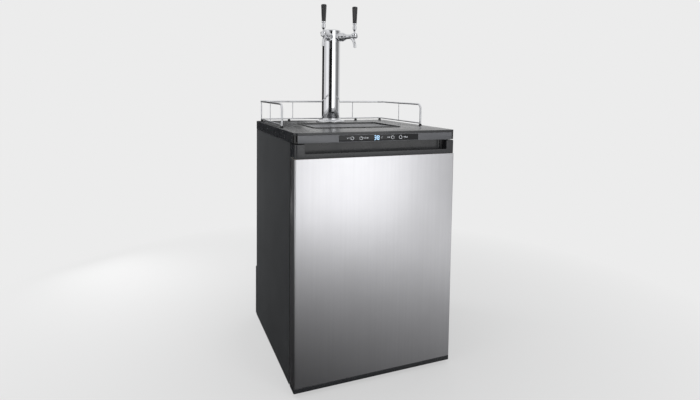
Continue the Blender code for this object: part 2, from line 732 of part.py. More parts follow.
def make_door_skin():
    skin = box("door_skin", (-HALF_BODY, FRONT, SKIN_BOTTOM + SEAT_GAP),
               (HALF_BODY, SKIN_BACK + DOOR_EDGE, SKIN_TOP), STAINLESS, rounding=DOOR_EDGE, edges="Z")
    rear = box("skin_rear", (-HALF_BODY - OVERRUN, SKIN_BACK, SKIN_BOTTOM - OVERRUN),
               (HALF_BODY + OVERRUN, SKIN_BACK + OVERRUN, SKIN_TOP + OVERRUN))
    inside = box("skin_inside", (DOOR_SKIN - HALF_BODY, FRONT + DOOR_SKIN, SKIN_BOTTOM - OVERRUN),
                 (HALF_BODY - DOOR_SKIN, SKIN_BACK + DOOR_EDGE, SKIN_TOP + OVERRUN),
                 rounding=DOOR_EDGE - DOOR_SKIN, edges="Z")
    return hang(cut(skin, rear, inside), DOOR_AXIS)


def make_door_core():
    """The foam that fills the door between its skin, its two caps and its liner."""
    gap = DOOR_SKIN + SEAT_GAP
    core = box("door_core", (gap - HALF_BODY, FRONT + gap, SKIN_BOTTOM + SEAT_GAP),
               (HALF_BODY - gap, SKIN_BACK, SKIN_TOP - SEAT_GAP), FOAM,
               rounding=DOOR_EDGE - DOOR_SKIN, edges="Z")
    return hang(core, DOOR_AXIS)


def make_door_liner():
    """The back of the door: a sheet with a low dam inside the seal."""
    side = HALF_BODY - DOOR_SKIN
    liner = box("door_liner", (-side, DOOR_BACK - DOOR_LINER, DOOR_BOTTOM + DOOR_EDGE),
                (side, DOOR_BACK, DOOR_TOP - DOOR_EDGE), LINER_GREY)
    dam = SEAL_SPAN / 2 - SEAL_WIDTH - DOOR_EDGE
    margin = SEAL_MARGIN + SEAL_WIDTH + DOOR_EDGE
    low, high = DOOR_BOTTOM + margin, DOOR_TOP - margin
    raised = box("liner_dam", (-dam, DOOR_BACK - DOOR_LINER / 2, low),
                 (dam, CABINET_FRONT - SEAT_GAP, high), rounding=DOOR_EDGE, edges="Y")
    well = box("liner_well", (2 * DOOR_EDGE - dam, DOOR_BACK, low + 2 * DOOR_EDGE),
               (dam - 2 * DOOR_EDGE, CABINET_FRONT + OVERRUN, high - 2 * DOOR_EDGE), rounding=DOOR_EDGE,
               edges="Y")
    return hang(cut(join(liner, raised), well), DOOR_AXIS)


def make_door_seal():
    side, low, high = SEAL_SPAN / 2, DOOR_BOTTOM + SEAL_MARGIN, DOOR_TOP - SEAL_MARGIN
    seal = box("door_seal", (-side, DOOR_BACK + SEAT_GAP, low), (side, CABINET_FRONT - SEAT_GAP, high),
               RUBBER, rounding=SEAL_WIDTH / 2, edges="Y")
    inside = box("seal_inside", (SEAL_WIDTH - side, DOOR_BACK - OVERRUN, low + SEAL_WIDTH),
                 (side - SEAL_WIDTH, CABINET_FRONT + OVERRUN, high - SEAL_WIDTH))
    half = SEAL_GAP / 4
    middle = DOOR_BACK + SEAL_GAP / 2
    fold = box("seal_fold", (-side - OVERRUN, middle - half / 2, low - OVERRUN),
               (side + OVERRUN, middle + half / 2, high + OVERRUN))
    land = box("seal_fold_land", (half - side, middle - half, low + half),
               (side - half, middle + half, high - half))
    return hang(cut(seal, inside, cut(fold, land)), DOOR_AXIS)


def make_top_cap():
    """The moulded top of the door, with a scooped grip that is open to the front and the top."""
    cap = box("door_top_cap", (-HALF_BODY, FRONT, SKIN_TOP + SEAT_GAP),
              (HALF_BODY, SKIN_BACK, DOOR_TOP), BLACK_ABS, rounding=DOOR_EDGE,
              edges="Z")
    half, lip = GRIP_SPAN / 2, SKIN_TOP + GRIP_LIP_HEIGHT
    mouth = box("grip_mouth", (-half, FRONT - OVERRUN, lip), (half, FRONT + GRIP_DEPTH, DOOR_TOP + OVERRUN),
                rounding=GRIP_ROUND, edges="Z")
    scoop = box("grip_scoop", (-half, FRONT + GRIP_LIP, SKIN_TOP + GRIP_FLOOR),
                (half, FRONT + GRIP_DEPTH, DOOR_TOP + OVERRUN), rounding=GRIP_ROUND, edges="Z")
    hole = bush_hole("top_bush_hole", DOOR_TOP - PIN_LENGTH - OVERRUN / 2, DOOR_TOP + OVERRUN)
    return hang(cut(cap, mouth, scoop, hole), DOOR_AXIS)


def make_bottom_cap():
    cap = box("door_bottom_cap", (-HALF_BODY, FRONT, DOOR_BOTTOM),
              (HALF_BODY, SKIN_BACK, SKIN_BOTTOM), BLACK_ABS, rounding=DOOR_EDGE,
              edges="Z")
    hole = bush_hole("bottom_bush_hole", DOOR_BOTTOM - OVERRUN, DOOR_BOTTOM + PIN_LENGTH)
    return hang(cut(cap, hole), DOOR_AXIS)


def make_hinges():
    """A bracket under the door and one over it, each with its pin."""
    x = (PIN_X - BRACKET_WIDTH / 2 - PIN_INSET / 4, HALF_BODY - DOOR_EDGE)
    y = (PIN_Y - BRACKET_NOSE, CABINET_FRONT + BRACKET_REACH)
    low = CABINET_BOTTOM - SEAT_GAP - BRACKET_WALL
    bottom = box("hinge_bracket_bottom", (x[0], y[0], low), (x[1], y[1], low + BRACKET_WALL), MACHINE_PAINT,
                 rounding=DOOR_EDGE, edges="Z")
    join(bottom, rod("hinge_pin_bottom", PIN_RADIUS, low + BRACKET_WALL / 2,
                     DOOR_BOTTOM + PIN_LENGTH - PIN_CLEARANCE, place=(PIN_X, PIN_Y, 0)))
    low = CABINET_TOP + SEAT_GAP
    top = box("hinge_bracket_top", (x[0], y[0], low), (x[1], y[1], low + BRACKET_WALL), MACHINE_PAINT,
              rounding=DOOR_EDGE, edges="Z")
    join(top, rod("hinge_pin_top", PIN_RADIUS, DOOR_TOP - PIN_LENGTH, low + BRACKET_WALL / 2,
                  place=(PIN_X, PIN_Y, 0)))


# Worktop, fascia and display
WORKTOP_FRONT = FRONT + WORKTOP_SETBACK
FASCIA_FRONT = FRONT + FASCIA_SETBACK
FASCIA_TOP = WORKTOP_HEIGHT - WORKTOP_NOSE - SEAT_GAP
FASCIA_BOTTOM = CABINET_TOP + SEAT_GAP
TRAY_BACK = TOWER_Y - FLANGE_RADIUS - TRAY_STANDOFF
TRAY_Y = (TRAY_BACK - TRAY_LENGTH, TRAY_BACK)
POCKET_GROW = TRAY_CLEARANCE - TRAY_RIM


def tray_box(name, grow, low, high, material=None, parent=None):
    """A round-cornered box in plan with the tray, grown or shrunk on all four sides."""
    x, corner = TRAY_WIDTH / 2 + grow, TRAY_CORNER + grow
    return box(name, (-x, TRAY_Y[0] - grow, low), (x, TRAY_Y[1] + grow, high), material, parent,
               rounding=corner, edges="Z", steps=6)


def make_worktop():
    """A hollow moulding with a pocket for the tray and a passage for the beer lines."""
    low = CABINET_TOP + SEAT_GAP
    worktop = box("worktop", (-HALF_WIDTH, WORKTOP_FRONT, low), (HALF_WIDTH, CABINET_BACK, WORKTOP_HEIGHT),
                  BLACK_ABS, rounding=WORKTOP_CORNER, edges="Z", steps=5)
    pocket = TRAY_WIDTH / 2 + POCKET_GROW + WORKTOP_SKIN
    pocket_front, pocket_back = TRAY_Y[0] - POCKET_GROW - WORKTOP_SKIN, TRAY_Y[1] + POCKET_GROW + WORKTOP_SKIN
    front, back = FRONT + FASCIA_SETBACK + FASCIA_DEPTH + SEAT_GAP, CABINET_BACK - WORKTOP_SKIN
    side, roof, under = HALF_WIDTH - WORKTOP_SKIN, WORKTOP_HEIGHT - WORKTOP_SKIN, low - OVERRUN
    hollows = [((-side, front + WORKTOP_SKIN, under), (side, pocket_front, roof)),
               ((-side, pocket_back, under), (side, back, roof)),
               ((-side, pocket_front, under), (-pocket, pocket_back, roof)),
               ((pocket, pocket_front, under), (side, pocket_back, roof))]
    nose = box("worktop_nose_cut", (-HALF_WIDTH - OVERRUN, WORKTOP_FRONT - OVERRUN, under),
               (HALF_WIDTH + OVERRUN, front, WORKTOP_HEIGHT - WORKTOP_NOSE))
    hinge_slot = box("worktop_hinge_slot", (PIN_X - BRACKET_WIDTH, front - OVERRUN, under),
                     (HALF_BODY, front + 2 * WORKTOP_SKIN, low + 2 * BRACKET_WALL))
    basin = tray_box("worktop_pocket", POCKET_GROW, WORKTOP_HEIGHT - TRAY_DEPTH - TRAY_CLEARANCE,
                     WORKTOP_HEIGHT + OVERRUN)
    for i, (near, far) in enumerate(hollows):
        cut(worktop, box(f"worktop_hollow_{i}", near, far))
    return cut(worktop, nose, hinge_slot, basin, line_hole("worktop_line_hole"))


def make_fascia():
    """The control strip: a channel open to the back, with a shallow recess for the display."""
    side = HALF_WIDTH - FASCIA_END_CLEARANCE
    fascia = box("control_fascia", (-side, FASCIA_FRONT, FASCIA_BOTTOM),
                 (side, FASCIA_FRONT + FASCIA_DEPTH, FASCIA_TOP), FASCIA_GREY,
                 rounding=WORKTOP_CORNER - FASCIA_END_CLEARANCE, edges="Z")
    inside = box("fascia_inside", (FASCIA_WALL - side, FASCIA_FRONT + FASCIA_WALL, FASCIA_BOTTOM - OVERRUN),
                 (side - FASCIA_WALL, FASCIA_FRONT + FASCIA_DEPTH + OVERRUN, FASCIA_TOP - FASCIA_WALL / 2))
    half = DISPLAY_SPAN / 2 + SEAT_GAP
    seat = box("display_seat", (-half, FASCIA_FRONT - OVERRUN, FASCIA_BOTTOM + DISPLAY_MARGIN - SEAT_GAP),
               (half, FASCIA_FRONT + DISPLAY_THICKNESS, FASCIA_TOP - DISPLAY_MARGIN + SEAT_GAP))
    cut(fascia, inside, seat)
    return box("display_window", (SEAT_GAP - half, FASCIA_FRONT - SEAT_GAP, FASCIA_BOTTOM + DISPLAY_MARGIN),
               (half - SEAT_GAP, FASCIA_FRONT + DISPLAY_THICKNESS - SEAT_GAP, FASCIA_TOP - DISPLAY_MARGIN),
               GLOSS_BLACK)


def make_drip_tray():
    """A drop-in pan whose rim lies on the worktop, and the slotted grate that rests on its ledge."""
    tray_axis = add_axis("drip_tray_axis", (0, (TRAY_Y[0] + TRAY_Y[1]) / 2, WORKTOP_HEIGHT))
    rim_low, rim_high = WORKTOP_HEIGHT + SEAT_GAP, WORKTOP_HEIGHT + SEAT_GAP + TRAY_RIM_THICKNESS
    floor, ledge = WORKTOP_HEIGHT - TRAY_DEPTH, WORKTOP_HEIGHT - TRAY_LEDGE_DEPTH
    tray = tray_box("drip_tray", 0, rim_low, rim_high, BLACK_ABS)
    join(tray, tray_box("tray_pan", -TRAY_RIM, floor, rim_low + TRAY_RIM_THICKNESS / 2))
    cut(tray, tray_box("tray_mouth", -TRAY_RIM - TRAY_WALL, ledge, rim_high + OVERRUN),
        tray_box("tray_well", -TRAY_RIM - TRAY_WALL - TRAY_LEDGE, floor + TRAY_WALL, rim_high + OVERRUN))
    hang(tray, tray_axis)
    inset = TRAY_RIM + TRAY_WALL + TRAY_CLEARANCE
    x, y = TRAY_WIDTH / 2 - inset, (TRAY_Y[0] + inset, TRAY_Y[1] - inset)
    low = ledge + SEAT_GAP
    grate = tray_box("drip_grate", -inset, low, low + GRATE_THICKNESS, STAINLESS)
    row = (y[1] - y[0] - 2 * GRATE_MARGIN) / GRATE_ROWS
    column = (2 * x - 2 * GRATE_MARGIN) / GRATE_COLUMNS
    slots = []
    for i in range(GRATE_ROWS):
        for j in range(GRATE_COLUMNS):
            left, near = GRATE_MARGIN - x + j * column, y[0] + GRATE_MARGIN + i * row
            slots.append(((left + GRATE_BAR / 2, near + GRATE_BAR / 2, low - OVERRUN),
                          (left + column - GRATE_BAR / 2, near + row - GRATE_BAR / 2, low + OVERRUN)))
    return hang(cut(grate, boxes("grate_slots", slots)), tray_axis)


make_door_skin()
make_door_core()
make_door_liner()
make_door_seal()
make_top_cap()
make_bottom_cap()
make_hinges()
make_worktop()
make_fascia()
make_drip_tray()


# Guard rail
def make_guard_rail():
    """A chrome wire rail round the back of the worktop, on rubber feet."""
    x, front, back = HALF_WIDTH - RAIL_INSET, FRONT + RAIL_FRONT, CABINET_BACK - RAIL_BACK_INSET
    top, low = WORKTOP_HEIGHT + RAIL_HEIGHT, WORKTOP_HEIGHT + RAIL_LOW_HEIGHT
    foot_top = low - RAIL_LOW_RADIUS - SEAT_GAP
    loop = [(-x, front, foot_top + SEAT_GAP), (-x, front, top), (-x, back, top), (x, back, top),
            (x, front, top), (x, front, foot_top + SEAT_GAP)]
    rail = tube("guard_rail", bent(loop, RAIL_BEND), RAIL_RADIUS, CHROME)
    base = [(-x, front, low), (-x, back, low), (x, back, low), (x, front, low)]
    join(rail, tube("rail_base_wire", bent(base, RAIL_BEND), RAIL_LOW_RADIUS))
    middle = (front + back) / 2
    for i, (px, py) in enumerate(((-x, middle), (x, middle), (-RAIL_WIRE_X, back), (RAIL_WIRE_X, back))):
        join(rail, tube(f"rail_wire_{i}", [(px, py, low), (px, py, top)], RAIL_WIRE_RADIUS, resolution=1))
    bend = RAIL_BEND * (1 - math.cos(math.radians(45)))
    places = [(-x, front), (-x + bend, back - bend), (-RAIL_FOOT_X, back), (RAIL_FOOT_X, back),
              (x - bend, back - bend), (x, front)]
    foot_share = 0.8
    profile = [(0, foot_top), (RAIL_FOOT_RADIUS * foot_share, foot_top),
               (RAIL_FOOT_RADIUS, WORKTOP_HEIGHT + SEAT_GAP), (0, WORKTOP_HEIGHT + SEAT_GAP)]
    for i, (px, py) in enumerate(places, 1):
        turned(f"rail_foot_{i}", profile, RUBBER, steps=12, place=(px, py, 0))


# Tower
FLANGE_LOW = WORKTOP_HEIGHT + SEAT_GAP
COLUMN_LOW = FLANGE_LOW + FLANGE_HEIGHT + SEAT_GAP
COLUMN_HIGH = TOWER_TOP - CAP_HEIGHT - SEAT_GAP
TAP_TURNS = {"left": -TAP_ANGLE, "right": TAP_ANGLE}
TAP_FRAMES = {side: add_axis(f"tap_frame_{side}", (0, TOWER_Y, SHANK_Z), turn)
              for side, turn in TAP_TURNS.items()}


def make_tower():
    place = (0, TOWER_Y, 0)
    collar, top = COLUMN_RADIUS + SEAT_GAP, FLANGE_LOW + FLANGE_COLLAR
    base = FLANGE_LOW + FLANGE_HEIGHT
    outer = collar + FLANGE_COLLAR_WALL
    bevel_share, rim_share = 0.6, 0.4
    bevel, rim, fillet = FLANGE_COLLAR_WALL * bevel_share, FLANGE_HEIGHT * rim_share, FLANGE_COLLAR_WALL / 2
    turned("tower_flange", [
        (LINE_HOLE, FLANGE_LOW), (LINE_HOLE, base), (collar, base), (collar, top), (collar + bevel, top),
        (outer, top - bevel), (outer, base + fillet), (outer + fillet, base), (FLANGE_RADIUS - rim, base),
        (FLANGE_RADIUS, base - rim), (FLANGE_RADIUS, FLANGE_LOW), (LINE_HOLE, FLANGE_LOW)], CHROME, place=place)
    column = ring("tower_column", COLUMN_RADIUS - COLUMN_WALL, COLUMN_RADIUS, COLUMN_LOW, COLUMN_HIGH,
                  CHROME, place=place)
    for side, frame in TAP_FRAMES.items():
        cut(column, rod(f"column_shank_hole_{side}", SHANK_RADIUS + SEAT_GAP, 0, COLUMN_RADIUS + OVERRUN,
                        parent=frame, axis="-Y"))
    plug, lip = COLUMN_RADIUS - COLUMN_WALL - SEAT_GAP, COLUMN_RADIUS + CAP_LIP
    low = TOWER_TOP - CAP_HEIGHT
    dome_shares = [(0, 1), (0.5, 0.95), (0.85, 0.75), (0.97, 0.5), (1, 0.25), (1, 0)]
    turned("tower_cap", [
        *scaled(dome_shares, lip, CAP_HEIGHT, low), (plug, low), (plug, low - CAP_PLUG),
        (plug - COLUMN_WALL * 2, low - CAP_PLUG), (plug - COLUMN_WALL * 2, low), (0, low)], CHROME, place=place)


# Taps. In a tap's frame, -Y points outwards along its shank, and every tap has the same shapes.
NUT_LOW = COLUMN_RADIUS + SHANK_FLANGE + 2 * SEAT_GAP
NUT_HIGH = NUT_LOW + NUT_LENGTH
BARREL_SHARE = 0.6  # of the nut, which the shank fills
BARREL_LOW = NUT_LOW + NUT_LENGTH * BARREL_SHARE


def make_shank(side, frame):
    seat = COLUMN_RADIUS + SEAT_GAP
    end = BARREL_LOW - SEAT_GAP
    shank = rod(f"shank_{side}", SHANK_RADIUS, SHANK_INNER, end, CHROME, frame, 24, axis="-Y")
    face_share, edge_share, inner_share = 0.85, 0.6, 0.8
    face, inner = seat + SHANK_FLANGE - SEAT_GAP, COLUMN_RADIUS * inner_share
    saddle = turned(f"shank_saddle_{side}", [
        (0, face), (SHANK_FLANGE_RADIUS * face_share, face),
        (SHANK_FLANGE_RADIUS, seat + SHANK_FLANGE * edge_share), (SHANK_FLANGE_RADIUS, inner), (0, inner)],
        parent=frame, steps=SMALL_STEPS, axis="-Y")
    cut(saddle, rod(f"saddle_column_{side}", seat, -COLUMN_RADIUS, COLUMN_RADIUS, parent=frame,
                    steps=ROUND_STEPS))
    bore = rod(f"shank_bore_{side}", SHANK_BORE, SHANK_INNER - OVERRUN, end + OVERRUN, parent=frame, axis="-Y")
    return cut(join(shank, saddle), bore)


def make_nut(side, frame):
    bore = SHANK_RADIUS + SEAT_GAP
    profile_shares = [(0.78, 1), (0.90, 3 / 4), (1, 2 / 3), (1, 1 / 8), (0.94, 0)]
    notch_share, notch_place_share = 0.11, 0.04
    nut = turned(f"coupling_nut_{side}", [
        (bore, NUT_LOW), (bore, NUT_HIGH), *scaled(profile_shares, NUT_RADIUS, NUT_LENGTH, NUT_LOW),
        (bore, NUT_LOW)], CHROME, frame, 24, axis="-Y")
    for i, (x, z) in enumerate(on_circle(NUT_LUGS, NUT_RADIUS + NUT_LENGTH * notch_place_share)):
        cut(nut, rod(f"nut_notch_{side}_{i}", NUT_LENGTH * notch_share, NUT_LOW + NUT_LENGTH / 6,
                     NUT_HIGH + OVERRUN, parent=frame, steps=8, place=(x, 0, z), axis="-Y"))


def spout_path():
    """Points from inside the barrel down to the spout's tip, on a quarter of an ellipse."""
    start_share, reach_share = 1.9, 2.1
    start, reach = TAP_REACH - BONNET_RADIUS * start_share, BONNET_RADIUS * reach_share
    points = []
    for i in range(6):
        angle = math.radians(90) * i / 5
        drop = SPOUT_DROP * (1 - math.cos(angle)) + SPOUT_RADIUS / 4
        points.append((0, -start - reach * math.sin(angle), -drop))
    return points


def make_tap_body(side, frame):
    """The tap's barrel, bonnet and spout in one casting, bored for its shaft and its lever's ball."""
    rear, nose = SHANK_RADIUS - SEAT_GAP, TAP_REACH + BONNET_RADIUS
    nose_shares = [(0, 0), (0.6, 0), (1, -0.4)]
    collar_shares = [(0.75, 1 / 2), (0.8, 1 / 4), (1, 1 / 8)]
    body = turned(f"tap_body_{side}", [
        *scaled(nose_shares, BARREL_RADIUS, BARREL_RADIUS, nose), (BARREL_RADIUS, TAP_REACH - BONNET_RADIUS),
        *scaled(collar_shares, BARREL_REAR_RADIUS, NUT_LENGTH, NUT_HIGH),
        (BARREL_REAR_RADIUS, NUT_HIGH + SEAT_GAP), (rear, NUT_HIGH + SEAT_GAP), (rear, BARREL_LOW),
        (0, BARREL_LOW)], CHROME, frame, 24, axis="-Y")
    place = (0, -TAP_REACH, 0)
    top = PIVOT_HEIGHT + BONNET_LIP
    top_share, foot_share, mouth_share = 0.85, 0.8, 0.6
    bonnet = turned(f"tap_bonnet_{side}", [
        (0, top), (BONNET_RADIUS * top_share, top), (BONNET_RADIUS, top - BONNET_LIP),
        (BONNET_RADIUS, BONNET_LIP), (BONNET_RADIUS * foot_share, -BONNET_LIP), (0, -BONNET_LIP)],
        parent=frame, steps=SMALL_STEPS, place=place)
    path = spout_path()
    taper_shares = [1.15, 1.1, 1.05, 0.97, 0.9, 0.88]
    spout = tube(f"tap_spout_{side}", path, SPOUT_RADIUS, parent=frame, resolution=1, radii=taper_shares)
    join(body, bonnet, spout)
    shaft_bore = rod(f"shaft_bore_{side}", SHAFT_RADIUS + SHAFT_CLEARANCE, BARREL_LOW - OVERRUN,
                     TAP_REACH + SHAFT_NOSE + SHAFT_CLEARANCE, parent=frame, axis="-Y", steps=16)
    ball = LEVER_BALL + BONNET_CLEARANCE
    socket = rod(f"ball_socket_{side}", ball, PIVOT_HEIGHT - ball, top + OVERRUN, parent=frame, place=place)
    tail = LEVER_TAIL_RADIUS + SHAFT_CLEARANCE
    slot = box(f"tail_slot_{side}", (-tail, -TAP_REACH - tail, 0),
               (tail, SHAFT_SLOT - TAP_REACH, PIVOT_HEIGHT), parent=frame)
    mouth = tube(f"spout_mouth_{side}", [*path[3:], Vector(path[-1]) + Vector((0, 0, -OVERRUN))],
                 SPOUT_RADIUS * mouth_share, parent=frame, resolution=1)
    return cut(body, shaft_bore, socket, slot, mouth)


def make_shaft(side, frame):
    shaft = rod(f"tap_shaft_{side}", SHAFT_RADIUS, SHAFT_REAR, TAP_REACH + SHAFT_NOSE, CHROME, frame,
                steps=16, axis="-Y")
    slot_share = 0.72
    half = SHAFT_RADIUS * slot_share
    slot = box(f"shaft_slot_{side}", (-half, -TAP_REACH - SHAFT_SLOT / 2, -SHAFT_RADIUS / 2),
               (half, SHAFT_SLOT / 2 - TAP_REACH, SHAFT_RADIUS + OVERRUN), parent=frame)
    return cut(shaft, slot)


def make_lever(side, frame):
    """The lever, with its ball and tail, on an empty at its pivot, and the handle screwed on it."""
    axis = add_axis(f"lever_axis_{side}", (0, -TAP_REACH, PIVOT_HEIGHT), parent=frame)
    foot, stud = HANDLE_BOTTOM - PIVOT_HEIGHT, HANDLE_BOTTOM - PIVOT_HEIGHT + LEVER_STUD
    ferrule = FERRULE_BOTTOM - PIVOT_HEIGHT
    taper_share, end_share, stem_share = 0.6, 0.7, 0.3
    profile = [(0, stud), (LEVER_STUD_RADIUS, stud), (LEVER_STUD_RADIUS, foot - SEAT_GAP),
               (FERRULE_RADIUS, foot - SEAT_GAP), (FERRULE_RADIUS, ferrule + FERRULE_RADIUS * taper_share),
               (FERRULE_RADIUS * end_share, ferrule),
               (LEVER_STEM_RADIUS, ferrule - FERRULE_RADIUS * stem_share)]
    start = math.asin(LEVER_STEM_RADIUS / LEVER_BALL)
    end = math.pi - math.asin(LEVER_TAIL_RADIUS / LEVER_BALL)
    for i in range(6):
        angle = start + (end - start) * i / 5
        profile.append((LEVER_BALL * math.sin(angle), LEVER_BALL * math.cos(angle)))
    tail = LEVER_TAIL_RADIUS / 2
    profile += [(LEVER_TAIL_RADIUS, tail - LEVER_ARM), (0, -LEVER_ARM - tail)]
    turned(f"lever_{side}", profile, CHROME, axis, steps=20)
    bore, top = LEVER_STUD_RADIUS + SEAT_GAP, foot + HANDLE_LENGTH
    crown_shares = [(0, 1), (0.7, 1), (1, 0.95), (1, 0.88)]
    foot_shares = [(1, 0.10), (1, 0.03), (0.9, 0)]
    handle = turned(f"tap_handle_{side}", [
        *scaled(crown_shares, HANDLE_TOP_RADIUS, HANDLE_LENGTH, foot),
        *scaled(foot_shares, HANDLE_FOOT_RADIUS, HANDLE_LENGTH, foot), (bore, foot),
        (bore, stud + SEAT_GAP), (0, stud + SEAT_GAP)], BLACK_ABS, axis, steps=HANDLE_FLUTES * 3)
    flute_shares = (0.05, 0.98)
    flute_low, flute_high = (foot + HANDLE_LENGTH * share for share in flute_shares)
    for vertex in handle.data.vertices:
        reach = math.hypot(vertex.co.x, vertex.co.y)
        if reach > bore + HANDLE_FLUTE_DEPTH and flute_low < vertex.co.z < flute_high:
            turn = math.atan2(vertex.co.y, vertex.co.x)
            share = 1 - HANDLE_FLUTE_DEPTH / reach * (1 + math.cos(HANDLE_FLUTES * turn)) / 2
            vertex.co.x *= share
            vertex.co.y *= share


make_guard_rail()
make_tower()
for tap_side, tap_frame in TAP_FRAMES.items():
    make_shank(tap_side, tap_frame)
    make_nut(tap_side, tap_frame)
    make_tap_body(tap_side, tap_frame)
    make_shaft(tap_side, tap_frame)
    make_lever(tap_side, tap_frame)


# Cooling plate, fan and lamp inside the cabinet
def make_cold_plate():
    """An aluminium evaporator plate on four studs, with its refrigerant channel standing proud."""
    front = ROOM_BACK - PLATE_STUD - PLATE_WALL
    low, high = PLATE_Z - PLATE_HEIGHT / 2, PLATE_Z + PLATE_HEIGHT / 2
    half = PLATE_WIDTH / 2
    plate = box("cold_plate", (PLATE_X - half, front, low), (PLATE_X + half, ROOM_BACK - PLATE_STUD, high),
                ALUMINIUM)
    pitch = PLATE_HEIGHT / (PLATE_CHANNELS + 1)
    run = half - pitch
    corners = []
    for i in range(PLATE_CHANNELS):
        side = 1 if i % 2 else -1
        z = low + pitch * (i + 1)
        corners += [(PLATE_X + side * run, front, z), (PLATE_X - side * run, front, z)]
    bend_share = 0.4
    join(plate, tube("plate_channel", bent(corners, pitch * bend_share, 2), PLATE_CHANNEL, resolution=1))
    studs = [(PLATE_X + side * (half - pitch / 2), z)
             for side in (-1, 1) for z in (low + pitch / 2, high - pitch / 2)]
    for i, (x, z) in enumerate(studs):
        join(plate, rod(f"plate_stud_{i}", PLATE_STUD, SEAT_GAP - ROOM_BACK, -front - PLATE_WALL / 2,
                        steps=12, place=(x, 0, z), axis="-Y"))


def make_fan():
    """A small circulation fan on stand-offs, with its rotor on an empty at the shaft."""
    half, rear = FAN_SIZE / 2, ROOM_BACK - FAN_STAND
    bore, front = half - FAN_WALL, rear - FAN_DEPTH
    place = (FAN_X, 0, FAN_Z)
    housing = box("fan_housing", (FAN_X - half, front, FAN_Z - half), (FAN_X + half, rear, FAN_Z + half),
                  BLACK_ABS, rounding=FAN_WALL * 2, edges="Y")
    cut(housing, rod("fan_bore", bore, -rear - OVERRUN, -front + OVERRUN, steps=ROUND_STEPS, place=place,
                     axis="-Y"))
    for i, turn in enumerate((math.radians(45), math.radians(135))):
        spoke = box(f"fan_spoke_{i}", (-bore - FAN_WALL / 2, rear - FAN_SPOKE, -FAN_SPOKE / 2),
                    (bore + FAN_WALL / 2, rear - FAN_SPOKE / 4, FAN_SPOKE / 2))
        spoke.data.transform(Matrix.Translation(place) @ Matrix.Rotation(turn, 4, "Y"))
        join(housing, spoke)
    join(housing, rod("fan_motor", FAN_HUB_RADIUS, SEAT_GAP - rear, FAN_SPOKE * 2 - rear, place=place,
                      axis="-Y"))
    for i, (x, z) in enumerate(on_circle(4, math.hypot(half, half) - FAN_WALL * 3, start=math.radians(45))):
        join(housing, rod(f"fan_stand_{i}", FAN_STAND_RADIUS, SEAT_GAP - ROOM_BACK, FAN_WALL - rear, steps=10,
                          place=(FAN_X + x, 0, FAN_Z + z), axis="-Y"))
    axis = add_axis("fan_axis", (FAN_X, rear - FAN_DEPTH / 2, FAN_Z))
    low = FAN_SPOKE * 2 + FAN_RUNNING_GAP - FAN_DEPTH / 2
    high = FAN_DEPTH / 2 - FAN_RUNNING_GAP
    rotor = rod("fan_rotor", FAN_HUB_RADIUS, low, high, BLACK_ABS, axis, steps=SMALL_STEPS, axis="-Y")
    join(rotor, rod("fan_shaft", FAN_SHAFT_RADIUS, low - FAN_RUNNING_GAP + SEAT_GAP, high - FAN_WALL,
                    parent=axis, steps=12, axis="-Y"))
    middle, reach = (low + high) / 2, bore - FAN_RUNNING_GAP
    root_share = 0.8
    for i in range(FAN_BLADES):
        blade = box(f"fan_blade_{i}", (-FAN_BLADE_WIDTH / 2, -FAN_BLADE_WALL / 2, FAN_HUB_RADIUS * root_share),
                    (FAN_BLADE_WIDTH / 2, FAN_BLADE_WALL / 2, reach), parent=axis)
        turn = Matrix.Rotation(math.radians(360) * i / FAN_BLADES, 4, "Y")
        tilt = Matrix.Rotation(FAN_BLADE_TILT, 4, "Z")
        blade.data.transform(turn @ Matrix.Translation((0, -middle, 0)) @ tilt)
        join(rotor, blade)
    rim = rod("fan_reach", reach, low - OVERRUN, high + OVERRUN, parent=axis, steps=ROUND_STEPS, axis="-Y")
    boolean(rotor, as_cutter(rim), "INTERSECT")


def make_lamp():
    x, y = LAMP_WIDTH / 2, LAMP_DEPTH / 2
    top = ROOM_ROOF - SEAT_GAP
    box("lamp_cover", (-x, LAMP_Y - y, top - LAMP_HEIGHT), (x, LAMP_Y + y, top), CLEAR,
        rounding=LAMP_HEIGHT / 3, edges="Z")


# Gas cylinder and regulator, which lift out together
CYLINDER_X = CYLINDER_SIDE_CLEARANCE + CYLINDER_RADIUS - HALF_ROOM
CYLINDER_Y = ROOM_BACK - CYLINDER_REAR_CLEARANCE - CYLINDER_RADIUS
VALVE_LOW = CYLINDER_HEIGHT + SEAT_GAP
OUTLET_HEIGHT_SHARE = 0.55  # of the valve
OUTLET_REACH_SHARE = 1.9  # of the valve's radius
STEM_SHARE = 0.35  # of the valve's radius
OUTLET_Z = VALVE_LOW + VALVE_HEIGHT * OUTLET_HEIGHT_SHARE
OUTLET_REACH = VALVE_RADIUS * OUTLET_REACH_SHARE


def make_cylinder(axis):
    foot_share = 0.92
    foot, neck = CYLINDER_RADIUS * foot_share, CYLINDER_NECK_RADIUS
    neck_low = CYLINDER_HEIGHT - CYLINDER_NECK
    profile = [(0, CYLINDER_HEIGHT), (neck, CYLINDER_HEIGHT), (neck, neck_low)]
    for i in range(1, 5):
        angle = math.radians(90) * i / 4
        profile.append((neck + (CYLINDER_RADIUS - neck) * math.sin(angle),
                        neck_low - CYLINDER_SHOULDER * (1 - math.cos(angle))))
    profile += [(CYLINDER_RADIUS, CYLINDER_RADIUS - foot), (foot, 0), (0, 0)]
    turned("gas_cylinder", profile, ALUMINIUM, axis)


